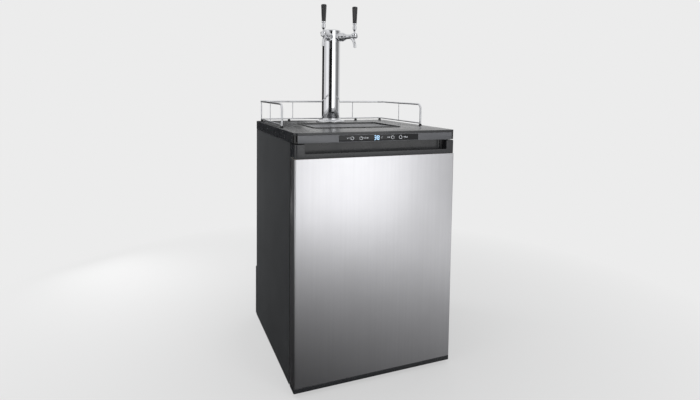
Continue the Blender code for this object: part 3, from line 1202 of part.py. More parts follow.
def make_valve(axis):
    valve_shares = [(0, 1), (STEM_SHARE, 1), (STEM_SHARE, 0.80), (0.8, 0.78), (1, 0.68), (1, 0), (0, 0)]
    outlet_share, wheel_share = 0.7, 0.82
    valve = turned("cylinder_valve", scaled(valve_shares, VALVE_RADIUS, VALVE_HEIGHT, VALVE_LOW), BRASS, axis,
                   steps=SMALL_STEPS)
    join(valve, rod("valve_outlet", VALVE_RADIUS * outlet_share, 0, OUTLET_REACH, parent=axis, steps=20,
                    place=(0, 0, OUTLET_Z), axis="X"))
    low, high = VALVE_LOW + VALVE_HEIGHT * wheel_share, VALVE_LOW + VALVE_HEIGHT
    top = high + WHEEL_HEIGHT / 4 - low
    bore, bore_top = VALVE_RADIUS * STEM_SHARE + SEAT_GAP, high - low + SEAT_GAP
    wheel_axis = add_axis("valve_axis", (0, 0, low), parent=axis)
    crown_shares, foot_shares = [(0, 0), (0.7, 0), (1, -0.2)], [(1, 0.15), (0.8, 0)]
    wheel = turned("valve_wheel", [
        *scaled(crown_shares, WHEEL_RADIUS, WHEEL_HEIGHT, top),
        *scaled(foot_shares, WHEEL_RADIUS, WHEEL_HEIGHT), (bore, 0), (bore, bore_top), (0, bore_top)],
        BLACK_ABS, wheel_axis, steps=SMALL_STEPS)
    notch_share = 1.15
    for i, (x, y) in enumerate(on_circle(WHEEL_LOBES, WHEEL_RADIUS * notch_share)):
        cut(wheel, rod(f"wheel_notch_{i}", WHEEL_RADIUS / 4, -OVERRUN, WHEEL_HEIGHT * 2, parent=wheel_axis,
                       steps=12, place=(x, y, 0)))


def make_regulator(axis):
    place = (REGULATOR_REACH, 0, OUTLET_Z)
    half = REGULATOR_DEPTH / 2
    body_shares = [(0, 1), (0.6, 1), (0.75, 0.6), (1, 0.3), (1, -0.6), (0.9, -1), (0, -1)]
    body = turned("regulator", scaled(body_shares, REGULATOR_RADIUS, half), BRASS, axis, steps=20, place=place,
                  axis="-Y")
    start = OUTLET_REACH + SEAT_GAP
    nut_share, nut_length_share = 0.9, 0.8
    join(body, rod("regulator_nut", VALVE_RADIUS * nut_share, start, start + VALVE_RADIUS * nut_length_share,
                   parent=axis, steps=6, place=(0, 0, OUTLET_Z), axis="X"))
    join(body, rod("regulator_stem", GAUGE_STEM_RADIUS, start + VALVE_RADIUS / 2, REGULATOR_REACH, parent=axis,
                   steps=16, place=(0, 0, OUTLET_Z), axis="X"))
    barb_shares = [(1, -0.5), (0.6, -0.5), (0.8, -1), (0.5, -1.6), (0, -1.6)]
    join(body, turned("regulator_barb", [
        (0, 0), (GAUGE_STEM_RADIUS, 0), *scaled(barb_shares, GAUGE_STEM_RADIUS, GAUGE_STEM, -REGULATOR_RADIUS)],
        parent=axis, steps=16, place=place))
    reach = REGULATOR_RADIUS + GAUGE_STEM + GAUGE_RADIUS
    dial_share = 0.9
    for number, (x, z) in enumerate(((0, reach), (reach, 0)), 1):
        middle = (place[0] + x, 0, place[2] + z)
        gauge = rod(f"pressure_gauge_{number}", GAUGE_RADIUS, -GAUGE_DEPTH / 2, GAUGE_DEPTH / 2, CHROME, axis,
                    steps=20, place=middle, axis="-Y")
        seat = REGULATOR_RADIUS + SEAT_GAP
        stem = rod(f"gauge_stem_{number}", GAUGE_STEM_RADIUS, seat, seat + GAUGE_STEM + GAUGE_RADIUS / 2,
                   parent=axis, steps=12, place=place, axis="X" if x else "Z")
        join(gauge, stem)
        cut(gauge, rod(f"gauge_dial_{number}", GAUGE_RADIUS * dial_share, GAUGE_DEPTH / 2 - GAUGE_DEPTH / 10,
                       GAUGE_DEPTH / 2 + OVERRUN, parent=axis, steps=20, place=middle, axis="-Y"))
    knob_axis = add_axis("knob_axis", (REGULATOR_REACH, -half - SEAT_GAP, OUTLET_Z), parent=axis)
    knob_shares = [(0, 1), (0.85, 1), (1, 0.9), (1, 0.2), (0.7, 0), (0, 0)]
    flute_share = 1.05
    knob = turned("regulator_knob", scaled(knob_shares, KNOB_RADIUS, KNOB_LENGTH), BLACK_ABS, knob_axis,
                  steps=SMALL_STEPS, axis="-Y")
    for i, (x, z) in enumerate(on_circle(WHEEL_LOBES, KNOB_RADIUS * flute_share)):
        cut(knob, rod(f"knob_flute_{i}", KNOB_RADIUS / 6, KNOB_LENGTH / 4, KNOB_LENGTH + OVERRUN,
                      parent=knob_axis, steps=8, place=(x, 0, z), axis="-Y"))


make_cold_plate()
make_fan()
make_lamp()
gas_axis = add_axis("gas_cylinder_axis", (CYLINDER_X, CYLINDER_Y, LEDGE_HEIGHT + SEAT_GAP))
make_cylinder(gas_axis)
make_valve(gas_axis)
make_regulator(gas_axis)
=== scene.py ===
"""A kegerator with a steel door, a drip tray, a guard rail and a two-tap tower, dressed over its frame."""
from math import copysign, cos, hypot, radians, sin, sqrt, tan, tau

import bmesh
import bpy
from mathutils import Matrix, Vector


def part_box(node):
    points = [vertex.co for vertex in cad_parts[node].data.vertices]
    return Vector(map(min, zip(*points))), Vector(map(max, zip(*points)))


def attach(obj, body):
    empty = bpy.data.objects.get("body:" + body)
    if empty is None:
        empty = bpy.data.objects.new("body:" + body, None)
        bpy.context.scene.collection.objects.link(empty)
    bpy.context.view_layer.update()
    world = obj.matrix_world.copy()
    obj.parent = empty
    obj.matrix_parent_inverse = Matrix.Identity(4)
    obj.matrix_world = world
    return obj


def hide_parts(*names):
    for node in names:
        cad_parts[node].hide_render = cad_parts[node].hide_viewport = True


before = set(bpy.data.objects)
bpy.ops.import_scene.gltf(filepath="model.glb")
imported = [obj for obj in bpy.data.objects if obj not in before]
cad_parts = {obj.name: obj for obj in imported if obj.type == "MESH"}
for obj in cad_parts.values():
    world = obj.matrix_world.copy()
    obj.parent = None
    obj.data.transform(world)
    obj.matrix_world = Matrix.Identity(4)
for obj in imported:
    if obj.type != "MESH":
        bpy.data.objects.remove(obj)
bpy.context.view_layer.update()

bl_info = {
    "name": "Kegerator",
    "version": (1, 0, 0),
    "blender": (4, 5, 0),
    "location": "View3D > Sidebar > Kegerator",
    "description": "Builds the finished look of a two-tap kegerator",
    "category": "Object",
}


# Places that come from the frame
def low(node):
    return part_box(node)[0]


def high(node):
    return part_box(node)[1]


def middle(node):
    return (low(node) + high(node)) / 2


def at(x, y, z):
    return Matrix.Translation((x, y, z))


def spun(degrees, axis):
    return Matrix.Rotation(radians(degrees), 4, axis)


def above(node):
    """The upright axis through a node's middle."""
    return at(middle(node).x, middle(node).y, 0)


TOWER_Y = middle("tower_column").y
COLUMN_RADIUS = (high("tower_column").x - low("tower_column").x) / 2
SHANK_Z = middle("tap_shaft_left").z
SEAT_GAP = 0.0003  # air between pieces that touch on the real one
TAP_ANGLE = radians(35)


# Colours and sizes that a user would change
def linear(hex_colour):
    """An sRGB hex colour as linear red, green, blue."""
    parts = [int(hex_colour[i:i + 2], 16) / 255 for i in (1, 3, 5)]
    return tuple(p / 12.92 if p <= 0.04045 else ((p + 0.055) / 1.055) ** 2.4 for p in parts)


def colour_property(name, description, hex_colour):
    return bpy.props.FloatVectorProperty(name=name, description=description, subtype="COLOR", size=3,
                                         min=0, max=1, default=linear(hex_colour))


def length_property(name, description, default):
    return bpy.props.FloatProperty(name=name, description=description, default=default, min=0,
                                   precision=4, unit="LENGTH")


class KegeratorFinish(bpy.types.PropertyGroup):
    """Colours of the finishes that show most."""
    steel: colour_property("Steel", "Brushed stainless steel of the door", "#cdcdd0")
    chrome: colour_property("Chrome", "Chromed brass of tower, taps and rail", "#d8d9dc")
    cabinet: colour_property("Cabinet", "Textured paint on the cabinet's sides", "#2b2c2d")
    plastic: colour_property("Plastic", "Moulded black ABS of worktop, trim and tray", "#1f2022")
    fascia: colour_property("Fascia", "Satin ABS of the control strip", "#4c4d50")
    liner: colour_property("Liner", "Thermoformed lining of cabinet and door", "#c9ccce")


class KegeratorSizes(bpy.types.PropertyGroup):
    """Sizes of the fine detail."""
    edge: length_property("Edge", "Rounding of the moulded edges", 0.0022)
    steel_edge: length_property("Steel edge", "Rounding of the folded steel's edges", 0.0012)
    grate_pitch: length_property("Grate pitch", "Distance between the drip grate's slots", 0.0125)
    wire_pitch: length_property("Wire pitch", "Distance between the condenser's wires", 0.0115)
    wire: length_property("Wire", "Diameter of the condenser's wires", 0.0015)


class KegeratorCamera(bpy.types.PropertyGroup):
    """The viewpoint of the photograph."""
    place: bpy.props.FloatVectorProperty(name="Place", description="Where the camera stands", unit="LENGTH",
                                         default=(-0.7130, -1.8319, 1.0116))
    turn: bpy.props.FloatProperty(name="Turn", description="Turn to the right of +Y", unit="ROTATION",
                                  default=0.3910)
    pitch: bpy.props.FloatProperty(name="Pitch", description="Tilt below the horizon", unit="ROTATION",
                                   default=0.0621)
    roll: bpy.props.FloatProperty(name="Roll", description="Turn about the line of sight", unit="ROTATION",
                                  default=0.0134)
    lens: bpy.props.FloatProperty(name="Lens", description="Focal length on a 36 mm sensor", unit="CAMERA",
                                  default=25.36)


# Making objects
def new_object(name, mesh):
    obj = bpy.data.objects.new(name, mesh)
    bpy.context.scene.collection.objects.link(obj)
    return obj


def smooth(mesh, angle=35):
    mesh.shade_smooth()
    mesh.set_sharp_from_angle(angle=radians(angle))


def mesh_from(build, name, angle=35, fix_normals=True):
    """The finished mesh of this bmesh, shaded smooth up to an angle."""
    bmesh.ops.remove_doubles(build, verts=build.verts, dist=1e-6)
    if fix_normals:
        bmesh.ops.recalc_face_normals(build, faces=build.faces)
    mesh = bpy.data.meshes.new(name)
    build.to_mesh(mesh)
    build.free()
    smooth(mesh, angle)
    return mesh


def joined(build, rows, wrap=True):
    """Faces between each row of vertices and the next. Wrap closes the rows."""
    for one, two in zip(rows, rows[1:]):
        for i in range(len(one) if wrap else len(one) - 1):
            j = (i + 1) % len(one)
            build.faces.new((one[i], one[j], two[j], two[i]))


def bevelled(build, edges, width, segments, **more):
    bmesh.ops.bevel(build, geom=edges, offset=width, segments=segments, profile=0.5, affect="EDGES",
                    clamp_overlap=True, **more)


def plain(obj):
    """The object with its modifiers turned into its mesh."""
    graph = bpy.context.evaluated_depsgraph_get()
    mesh = bpy.data.meshes.new_from_object(obj.evaluated_get(graph), depsgraph=graph)
    obj.modifiers.clear()
    if obj.type != "MESH":
        name = obj.name
        bpy.data.objects.remove(obj)
        return new_object(name, mesh)
    obj.data = mesh
    return obj


def merged(name, objects):
    """One object out of several plain ones, which keeps their materials."""
    build = bmesh.new()
    materials = []
    for obj in objects:
        start = len(build.faces)
        build.from_mesh(obj.data)
        build.faces.ensure_lookup_table()
        for material in obj.data.materials:
            if material not in materials:
                materials.append(material)
        for face in build.faces[start:]:
            if obj.data.materials:
                face.material_index = materials.index(obj.data.materials[face.material_index])
    mesh = bpy.data.meshes.new(name)
    build.to_mesh(mesh)
    build.free()
    for material in materials:
        mesh.materials.append(material)
    for obj in objects:
        bpy.data.objects.remove(obj)
    return new_object(name, mesh)


def dressed(obj, material):
    """Gives a piece this material alone."""
    obj.data.materials.clear()
    obj.data.materials.append(MATERIALS[material])
    return obj


def finish(obj, body, *nodes, material=None):
    """Gives a finished piece its material and its place in the frame."""
    obj.name = obj.name.replace(" ", "_")
    if material:
        dressed(obj, material)
    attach(obj, body)
    if nodes:
        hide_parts(*nodes)
    return obj


def rounded(corners, steps=6):
    """A 2D outline through these (x, y, radius) corners, each rounded by an arc of its radius."""
    points = []
    for i, (x, y, radius) in enumerate(corners):
        here = Vector((x, y))
        before = Vector(corners[i - 1][:2]) - here
        after = Vector(corners[(i + 1) % len(corners)][:2]) - here
        if radius <= 0 or min(before.length, after.length) < 1e-9:
            points.append(here)
            continue
        before.normalize()
        after.normalize()
        half = before.angle(after) / 2
        centre = here + (before + after).normalized() * radius / sin(half)
        start = here + before * radius / tan(half) - centre
        end = here + after * radius / tan(half) - centre
        for step in range(steps + 1):
            points.append(centre + start.normalized().slerp(end.normalized(), step / steps) * radius)
    return points


AXIS_TURNS = {"Z": Matrix(), "X": spun(90, "Y"), "Y": spun(-90, "X"), "-Y": spun(90, "X")}


def circle(build, radius, z, steps):
    angles = [tau * i / steps for i in range(steps)]
    return [build.verts.new((radius * cos(angle), radius * sin(angle), z)) for angle in angles]


def pin(radius, end, start):
    """The corners of a plain pin, for turned."""
    return [(0, end, 0), (radius, end, 0), (radius, start, 0), (0, start, 0)]


def turned(name, corners, place=Matrix(), axis="Z", steps=72, closed=False, rounding_steps=6):
    """A piece turned about an axis from (radius, height, rounding) corners down its outer side."""
    points = rounded(corners, rounding_steps)
    build = bmesh.new()
    rings = []
    for radius, height in points:
        rings.append(circle(build, radius, height, steps) if radius > 1e-7
                     else [build.verts.new((0, 0, height))] * steps)
    pairs = list(zip(rings, rings[1:])) + ([(rings[-1], rings[0])] if closed else [])
    for upper, lower in pairs:
        for i in range(steps):
            j = (i + 1) % steps
            face = list(dict.fromkeys((upper[i], lower[i], lower[j], upper[j])))
            if len(face) > 2 and not build.faces.get(face):
                build.faces.new(face)
    mesh = mesh_from(build, name)
    mesh.transform(place @ AXIS_TURNS[axis])
    return new_object(name, mesh)


def bar(name, path, radius, sides=6, radii=None):
    """A round bar along a path, whose radius may vary by these shares."""
    curve = bpy.data.curves.new(name, "CURVE")
    curve.dimensions = "3D"
    curve.bevel_depth = radius
    curve.bevel_resolution = sides
    curve.use_fill_caps = True
    spline = curve.splines.new("POLY")
    spline.points.add(len(path) - 1)
    for i, point in enumerate(path):
        spline.points[i].co = (*point, 1)
        spline.points[i].radius = radii[i] if radii else 1
    obj = plain(new_object(name, curve))
    smooth(obj.data)
    return obj


def bent(corners, radius, steps=12):
    """A path through 3D corners, with each inner corner rounded by an arc."""
    corners = [Vector(c) for c in corners]
    path = [corners[0]]
    for before, here, after in zip(corners, corners[1:], corners[2:]):
        back, on = (before - here).normalized(), (after - here).normalized()
        half = back.angle(on) / 2
        centre = here + (back + on).normalized() * radius / sin(half)
        start = (here + back * radius / tan(half) - centre).normalized()
        end = (here + on * radius / tan(half) - centre).normalized()
        path += [centre + start.slerp(end, i / steps) * radius for i in range(steps + 1)]
    return path + [corners[-1]]


def block(name, near, far, rounding=0, segments=3, edges="XYZ"):
    """A box with its edges rounded: all of them, or those along the axes named."""
    build = bmesh.new()
    bmesh.ops.create_cube(build, size=1)
    near, far = Vector(near), Vector(far)
    for vertex in build.verts:
        vertex.co = [near[i] if vertex.co[i] < 0 else far[i] for i in range(3)]
    if rounding:
        chosen = [e for e in build.edges
                  if "XYZ"[max(range(3), key=lambda i: abs((e.verts[0].co - e.verts[1].co)[i]))] in edges]
        bevelled(build, chosen, rounding, segments)
    return new_object(name, mesh_from(build, name))


def prism(name, corners, low_z, high_z, edge=0.0, steps=8):
    """An upright prism over this rounded outline, with its top and bottom edges rounded too."""
    build = bmesh.new()
    face = build.faces.new([build.verts.new((p.x, p.y, low_z)) for p in rounded(corners, steps)])
    moved = bmesh.ops.extrude_face_region(build, geom=[face])["geom"]
    bmesh.ops.translate(build, verts=[v for v in moved if isinstance(v, bmesh.types.BMVert)],
                        vec=(0, 0, high_z - low_z))
    bmesh.ops.recalc_face_normals(build, faces=build.faces)
    if edge:
        level = [e for e in build.edges if abs(e.verts[0].co.z - e.verts[1].co.z) < 1e-6]
        bevelled(build, level, edge, 3)
    return new_object(name, mesh_from(build, name))


def softened(name, node, width, segments=3, angle=30):
    """A copy of a CAD node with its flat faces made whole and its edges rounded."""
    build = bmesh.new()
    build.from_mesh(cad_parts[node].data)
    bmesh.ops.remove_doubles(build, verts=build.verts, dist=2e-5)
    bmesh.ops.dissolve_limit(build, angle_limit=radians(0.5), verts=build.verts, edges=build.edges,
                             delimit={"NORMAL"})
    sharp = [e for e in build.edges if len(e.link_faces) == 2 and e.calc_face_angle(0) > radians(angle)]
    bevelled(build, sharp, width, segments, harden_normals=False, miter_outer="ARC")
    return new_object(name, mesh_from(build, name, fix_normals=False))


def soften_all(body, *rows):
    """Finishes CAD nodes with rounded edges. Each row is a label, node, rounding, its steps, and material."""
    for label, node, width, segments, material in rows:
        finish(softened(label, node, width, segments), body, node, material=material)


def combined(obj, others, operation):
    """Joins these plain objects to obj, or cuts them out, and removes them."""
    for other in others:
        change = obj.modifiers.new("combine", "BOOLEAN")
        change.operation, change.solver, change.object = operation, "EXACT", other
    obj = plain(obj)
    for other in others:
        bpy.data.objects.remove(other)
    smooth(obj.data)
    return obj


def cut_away(obj, *cutters):
    return combined(obj, cutters, "DIFFERENCE")


# Node trees
def add_node(tree, kind, inputs=None, **settings):
    """Adds a node. Each of its inputs is given as a plain value or as another node's output."""
    node = tree.nodes.new(kind)
    for key, value in settings.items():
        setattr(node, key, value)
    for key, value in (inputs or {}).items():
        if isinstance(value, bpy.types.NodeSocket):
            tree.links.new(value, node.inputs[key])
        else:
            node.inputs[key].default_value = value
    return node


def millimetres(value):
    """The texture scale at which one feature is this many millimetres across, on metre coordinates."""
    return 1000 / value


MATERIALS = {}


def new_material(name, colour, roughness, metallic=0.0, **constants):
    """A Principled material whose constants stand on the shader's own sockets."""
    material = MATERIALS[name] = bpy.data.materials.new(name)
    material.use_nodes = True
    shader = material.node_tree.nodes["Principled BSDF"]
    constants = {"base_color": (*colour, 1), "roughness": roughness, "metallic": metallic, **constants}
    for key, value in constants.items():
        shader.inputs[key.replace("_", " ").title().replace("Ior", "IOR")].default_value = value
    return material.node_tree, shader


def drive(tree, shader, colour=None, roughness=None, normal=None):
    """Links patterns to the shader's sockets."""
    for socket, value in (("Base Color", colour), ("Roughness", roughness), ("Normal", normal)):
        if value:
            tree.links.new(value, shader.inputs[socket])


def object_coordinates(tree, scale=(1, 1, 1)):
    """Object coordinates in metres, stretched by a Mapping node."""
    source = add_node(tree, "ShaderNodeTexCoord").outputs["Object"]
    return add_node(tree, "ShaderNodeMapping", {"Vector": source, "Scale": scale}).outputs[0]


def noise(tree, size, detail=3.0, roughness=0.5, scale=(1, 1, 1)):
    """A noise value from 0 to 1, whose blotches are this many millimetres across where scale is 1."""
    return add_node(tree, "ShaderNodeTexNoise", {
        "Vector": object_coordinates(tree, scale), "Scale": millimetres(size), "Detail": detail,
        "Roughness": roughness}).outputs[0]


def cells(tree, size, output, **settings):
    """A cell pattern whose cells are this many millimetres across."""
    return add_node(tree, "ShaderNodeTexVoronoi", {
        "Vector": object_coordinates(tree), "Scale": millimetres(size)}, **settings).outputs[output]


def between(tree, value, start, end, from_low=0.3, from_high=0.7):
    """Maps a value that mostly lies between from_low and from_high onto start to end."""
    return add_node(tree, "ShaderNodeMapRange", {"Value": value, "From Min": from_low, "From Max": from_high,
                                                 "To Min": start, "To Max": end}).outputs["Result"]


def tinted(tree, value, dark, light):
    """A colour between dark and light by value."""
    ramp = add_node(tree, "ShaderNodeMix", {"Factor": value, 6: (*dark, 1), 7: (*light, 1)}, data_type="RGBA")
    return ramp.outputs[2]


def shaded(tree, value, colour, low, high):
    """This colour times a share that goes from low to high with value."""
    return tinted(tree, value, *(tuple(min(1, c * share) for c in colour) for share in (low, high)))


def relief(tree, height, depth, strength=1.0, under=None):
    """A bump of this depth in metres. Under is the bump that it lies on."""
    inputs = {"Height": height, "Distance": depth, "Strength": strength}
    if under:
        inputs["Normal"] = under
    return add_node(tree, "ShaderNodeBump", inputs).outputs["Normal"]


def make_brushed_steel(colour):
    """Ferritic stainless sheet with a vertical belt-brushed grain: soft streaks that spread highlights
    sideways. The real grain is 0.05 mm wide and is drawn at 0.5 mm, because it is too fine to show."""
    tree, shader = new_material("Brushed stainless steel", colour, 0.34, 1.0)
    grain = noise(tree, 0.5, 4, 0.65, (1, 1, 0.008))
    wide = noise(tree, 9, scale=(1, 1, 0.02))
    both = math_node(tree, "MULTIPLY", grain, wide)
    mixed = add_node(tree, "ShaderNodeMath", {0: both, 1: noise(tree, 120, 2), 2: 0.1},
                     operation="MULTIPLY_ADD").outputs[0]
    drive(tree, shader, shaded(tree, between(tree, mixed, 0, 1, 0.12, 0.36), colour, 0.95, 1.04),
          between(tree, grain, 0.28, 0.38), relief(tree, grain, 0.00002, 0.25))


def make_darkened_steel(colour):
    """Stainless plate of the drip grate, coloured a dark grey and dulled unevenly."""
    tree, shader = new_material("Washed stainless steel", colour, 0.32, 1.0)
    grain = noise(tree, 0.6, scale=(0.02, 1, 1))
    drive(tree, shader, shaded(tree, grain, colour, 0.85, 1.10),
          between(tree, noise(tree, 14, 4), 0.26, 0.40))


def make_chrome(colour):
    """Decorative chrome plate over polished brass: a mirror with the faintest wiping marks."""
    tree, shader = new_material("Chromed brass", colour, 0.06, 1.0)
    smear = noise(tree, 35, 4, 0.6, (1, 1, 0.4))
    drive(tree, shader, shaded(tree, between(tree, smear, 0, 1), colour, 0.96, 1),
          between(tree, smear, 0.035, 0.095))


def make_cabinet_paint(colour):
    """Polyester powder coat on steel sheet with a fine leather-like texture: a soft, broken sheen."""
    tree, shader = new_material("Textured powder coat", colour, 0.6, specular_ior_level=0.2)
    fine = noise(tree, 0.7, 2)
    pebbles = cells(tree, 1.6, "Distance", feature="SMOOTH_F1")
    drive(tree, shader, shaded(tree, between(tree, noise(tree, 90, 2), 0, 1), colour, 0.94, 1.06),
          between(tree, fine, 0.54, 0.68),
          relief(tree, pebbles, 0.00025, 0.5, relief(tree, fine, 0.00008, 0.4)))


def make_black_plastic(colour):
    """Injection-moulded black ABS with a fine spark-eroded grain: dark, with a broad soft sheen."""
    tree, shader = new_material("Moulded black ABS", colour, 0.27)
    grain = noise(tree, 0.8)
    drive(tree, shader, shaded(tree, grain, colour, 0.9, 1.12), between(tree, noise(tree, 60), 0.22, 0.32),
          relief(tree, grain, 0.00004, 0.3))


def make_fascia_plastic(colour):
    """Satin-painted ABS of the control strip: a dark metallic grey with a little sparkle."""
    tree, shader = new_material("Satin grey ABS", colour, 0.34, 0.25)
    flakes = noise(tree, 0.5, 1)
    drive(tree, shader, shaded(tree, between(tree, flakes, 0, 1), colour, 0.9, 1.12),
          between(tree, flakes, 0.30, 0.38))


def make_liner_plastic(colour):
    """Vacuum-formed HIPS of a refrigerator's lining: pale, satin, slightly wavy where it stretched."""
    tree, shader = new_material("Thermoformed HIPS", colour, 0.38)
    wave, fine = noise(tree, 45, 2), noise(tree, 0.9, 2)
    drive(tree, shader, shaded(tree, between(tree, wave, 0, 1), colour, 0.96, 1),
          between(tree, fine, 0.34, 0.42), relief(tree, wave, 0.0006, 0.3, relief(tree, fine, 0.00005, 0.3)))


def make_galvanised(colour):
    """Hot-dip galvanised sheet: zinc crystals a few millimetres across, each with its own grey."""
    tree, shader = new_material("Galvanised sheet", colour, 0.45, 0.9)
    value = add_node(tree, "ShaderNodeSeparateColor", {"Color": cells(tree, 9, "Color")}).outputs[0]
    drive(tree, shader, shaded(tree, value, colour, 0.80, 1.1), between(tree, value, 0.36, 0.55, 0, 1))


def make_foam(colour):
    """Rigid polyurethane foam between skin and lining: straw-coloured, matt, full of small bubbles."""
    tree, shader = new_material("Rigid polyurethane foam", colour, 0.9)
    bubbles = cells(tree, 1.5, "Distance")
    # The bubbles' hollows are painted darker than their rims, as painted shade.
    drive(tree, shader, shaded(tree, bubbles, colour, 0.75, 1), normal=relief(tree, bubbles, 0.0005, 0.7))


def make_even(name, colour, roughness, metallic, grain, contrast, depth, **constants):
    """A material whose colour, roughness and surface all vary a little with one grain size in millimetres."""
    colour = linear(colour)
    tree, shader = new_material(name, colour, roughness, metallic, **constants)
    value = noise(tree, grain)
    drive(tree, shader, shaded(tree, between(tree, value, 0, 1), colour, 1 - contrast, 1 + contrast),
          between(tree, value, roughness * 0.9, roughness * 1.12),
          relief(tree, value, depth, 0.4) if depth else None)


# Name, colour, roughness, metallic, grain in millimetres, contrast, depth of the relief, other constants
EVEN_FINISHES = (
    # Phenolic knobs and tap handles: compression-moulded, hard and glossier than ABS.
    ("Black phenolic", "#1b1b1d", 0.22, 0.0, 30, 0.06, 0, {}),
    # Cast acrylic over the display: near black with a clean gloss.
    ("Smoked acrylic", "#111214", 0.09, 0.0, 40, 0.05, 0, {"specular_ior_level": 0.3}),
    # Polished ABS of the strip's rounded ends: black with sharp reflections.
    ("Glossy black ABS", "#0e0e0f", 0.12, 0.0, 30, 0.05, 0, {}),
    # Chrome plate straight on drawn steel wire: bright, and duller than on polished brass.
    ("Chromed steel wire", "#dcdde0", 0.33, 1.0, 25, 0.06, 0, {}),
    # EPDM and nitrile rubber: matt black with dust-grey bloom.
    ("Black rubber", "#1a1a1a", 0.72, 0.0, 1.2, 0.18, 0.0001, {}),
    # PVC of the door's seal: dark grey, satin, extruded.
    ("Extruded PVC", "#3a3b3d", 0.5, 0.0, 2.0, 0.08, 0.00005, {}),
    # Stoving enamel on pressed steel: black, satin, with a slight orange peel.
    ("Black stoving enamel", "#18191a", 0.3, 0.0, 2.5, 0.08, 0.00008, {}),
    # Rolled aluminium: pale grey with a soft directional sheen.
    ("Rolled aluminium", "#c3c5c8", 0.34, 1.0, 8, 0.05, 0.00002, {}),
    # Turned brass: warm yellow with a fine lathe finish.
    ("Turned brass", "#c8a25a", 0.26, 1.0, 1.5, 0.06, 0.00002, {}),
    # Frosted polycarbonate over the lamp: milky and soft.
    ("Frosted polycarbonate", "#e9ecee", 0.35, 0.0, 3, 0.03, 0.00005, {"transmission_weight": 0.35}),
    # Clear polycarbonate of the gauges' lenses: no tint, and sharp reflections.
    ("Clear polycarbonate", "#f4f6f7", 0.05, 0.0, 30, 0.01, 0, {"transmission_weight": 1.0}),
    # White enamel of the gauges' dials: clean and satin.
    ("White dial enamel", "#eceeec", 0.4, 0.0, 5, 0.02, 0, {}),
    # Screen-printed ink: pale grey, matt and flat.
    ("White printing ink", "#d5d8dc", 0.5, 0.0, 0.6, 0.05, 0, {}),
    # Black dial print and needle paint: matt and flat.
    ("Black printing ink", "#16171a", 0.5, 0.0, 0.6, 0.05, 0, {}),
    # Zinc-plated machine screws: bright, slightly blue.
    ("Zinc-plated steel", "#b4b8bd", 0.28, 1.0, 1.0, 0.06, 0.00002, {}),
)


def make_materials():
    colours = bpy.context.scene.kegerator_finish
    for make, key in ((make_brushed_steel, "steel"), (make_chrome, "chrome"), (make_cabinet_paint, "cabinet"),
                      (make_black_plastic, "plastic"), (make_fascia_plastic, "fascia"),
                      (make_liner_plastic, "liner")):
        make(tuple(getattr(colours, key)))
    for make, colour in ((make_darkened_steel, "#7b7c7f"), (make_galvanised, "#9a9c9f"),
                         (make_foam, "#d9c68f")):
        make(linear(colour))
    for *values, constants in EVEN_FINISHES:
        make_even(*values, **constants)
    # Light of the display's digits: pale blue segments.
    new_material("Lit display segments", linear("#bfe3ff"), 0.4, emission_color=(*linear("#a9d8ff"), 1),
                 emission_strength=1.6)


# What repeats, as Geometry Nodes
def new_tree(name, **inputs):
    """A geometry tree with these named inputs and their defaults, besides the piece and its material."""
    tree = bpy.data.node_groups.new(name, "GeometryNodeTree")
    sockets = {"Piece": ("Object", None), "Material": ("Material", None), **inputs}
    for key, (kind, default) in sockets.items():
        socket = tree.interface.new_socket(key, in_out="INPUT", socket_type=f"NodeSocket{kind}")
        if default is not None:
            socket.default_value = default
    tree.interface.new_socket("Geometry", in_out="OUTPUT", socket_type="NodeSocketGeometry")
    return tree, tree.nodes.new("NodeGroupInput").outputs


def copies(tree, given, points, **turn):
    """Ends the tree: copies of the piece on these points, realized and in their material."""
    piece = add_node(tree, "GeometryNodeObjectInfo", {"Object": given["Piece"]}).outputs["Geometry"]
    placed = add_node(tree, "GeometryNodeInstanceOnPoints", {"Points": points, "Instance": piece, **turn})
    real = add_node(tree, "GeometryNodeRealizeInstances", {"Geometry": placed.outputs[0]}).outputs[0]
    coated = add_node(tree, "GeometryNodeSetMaterial", {"Geometry": real, "Material": given["Material"]})
    tree.links.new(coated.outputs[0], tree.nodes.new("NodeGroupOutput").inputs[0])
    return tree


def math_node(tree, operation, a, b=0.0):
    return add_node(tree, "ShaderNodeMath", {0: a, 1: b}, operation=operation).outputs[0]


def vector_of(tree, **parts):
    return add_node(tree, "ShaderNodeCombineXYZ", parts).outputs[0]


def ring_tree():
    """Copies of one piece on a circle in the XY plane, each turned to face outwards."""
    tree, given = new_tree("Ring of pieces", Count=("Int", 4), Radius=("Float", 0.05), Start=("Float", 0.0),
                           Sweep=("Float", tau))
    points = add_node(tree, "GeometryNodePoints", {"Count": given["Count"]})
    index = add_node(tree, "GeometryNodeInputIndex").outputs[0]
    step = math_node(tree, "DIVIDE", given["Sweep"], given["Count"])
    angle = add_node(tree, "ShaderNodeMath", {0: index, 1: step, 2: given["Start"]},
                     operation="MULTIPLY_ADD").outputs[0]
    x, y = (math_node(tree, "MULTIPLY", math_node(tree, way, angle), given["Radius"])
            for way in ("COSINE", "SINE"))
    placed = add_node(tree, "GeometryNodeSetPosition", {"Geometry": points.outputs[0],
                                                        "Position": vector_of(tree, X=x, Y=y)})
    return copies(tree, given, placed.outputs[0], Rotation=vector_of(tree, Z=angle))


def grid_tree():
    """Copies of one piece in rows and columns, centred on the origin of the XY plane."""
    tree, given = new_tree("Grid of pieces", Columns=("Int", 2), Rows=("Int", 2), Width=("Float", 0.1),
                           Height=("Float", 0.1))
    grid = add_node(tree, "GeometryNodeMeshGrid", {
        "Vertices X": given["Columns"], "Vertices Y": given["Rows"], "Size X": given["Width"],
        "Size Y": given["Height"]})
    points = add_node(tree, "GeometryNodeMeshToPoints", {"Mesh": grid.outputs["Mesh"]}).outputs[0]
    return copies(tree, given, points)


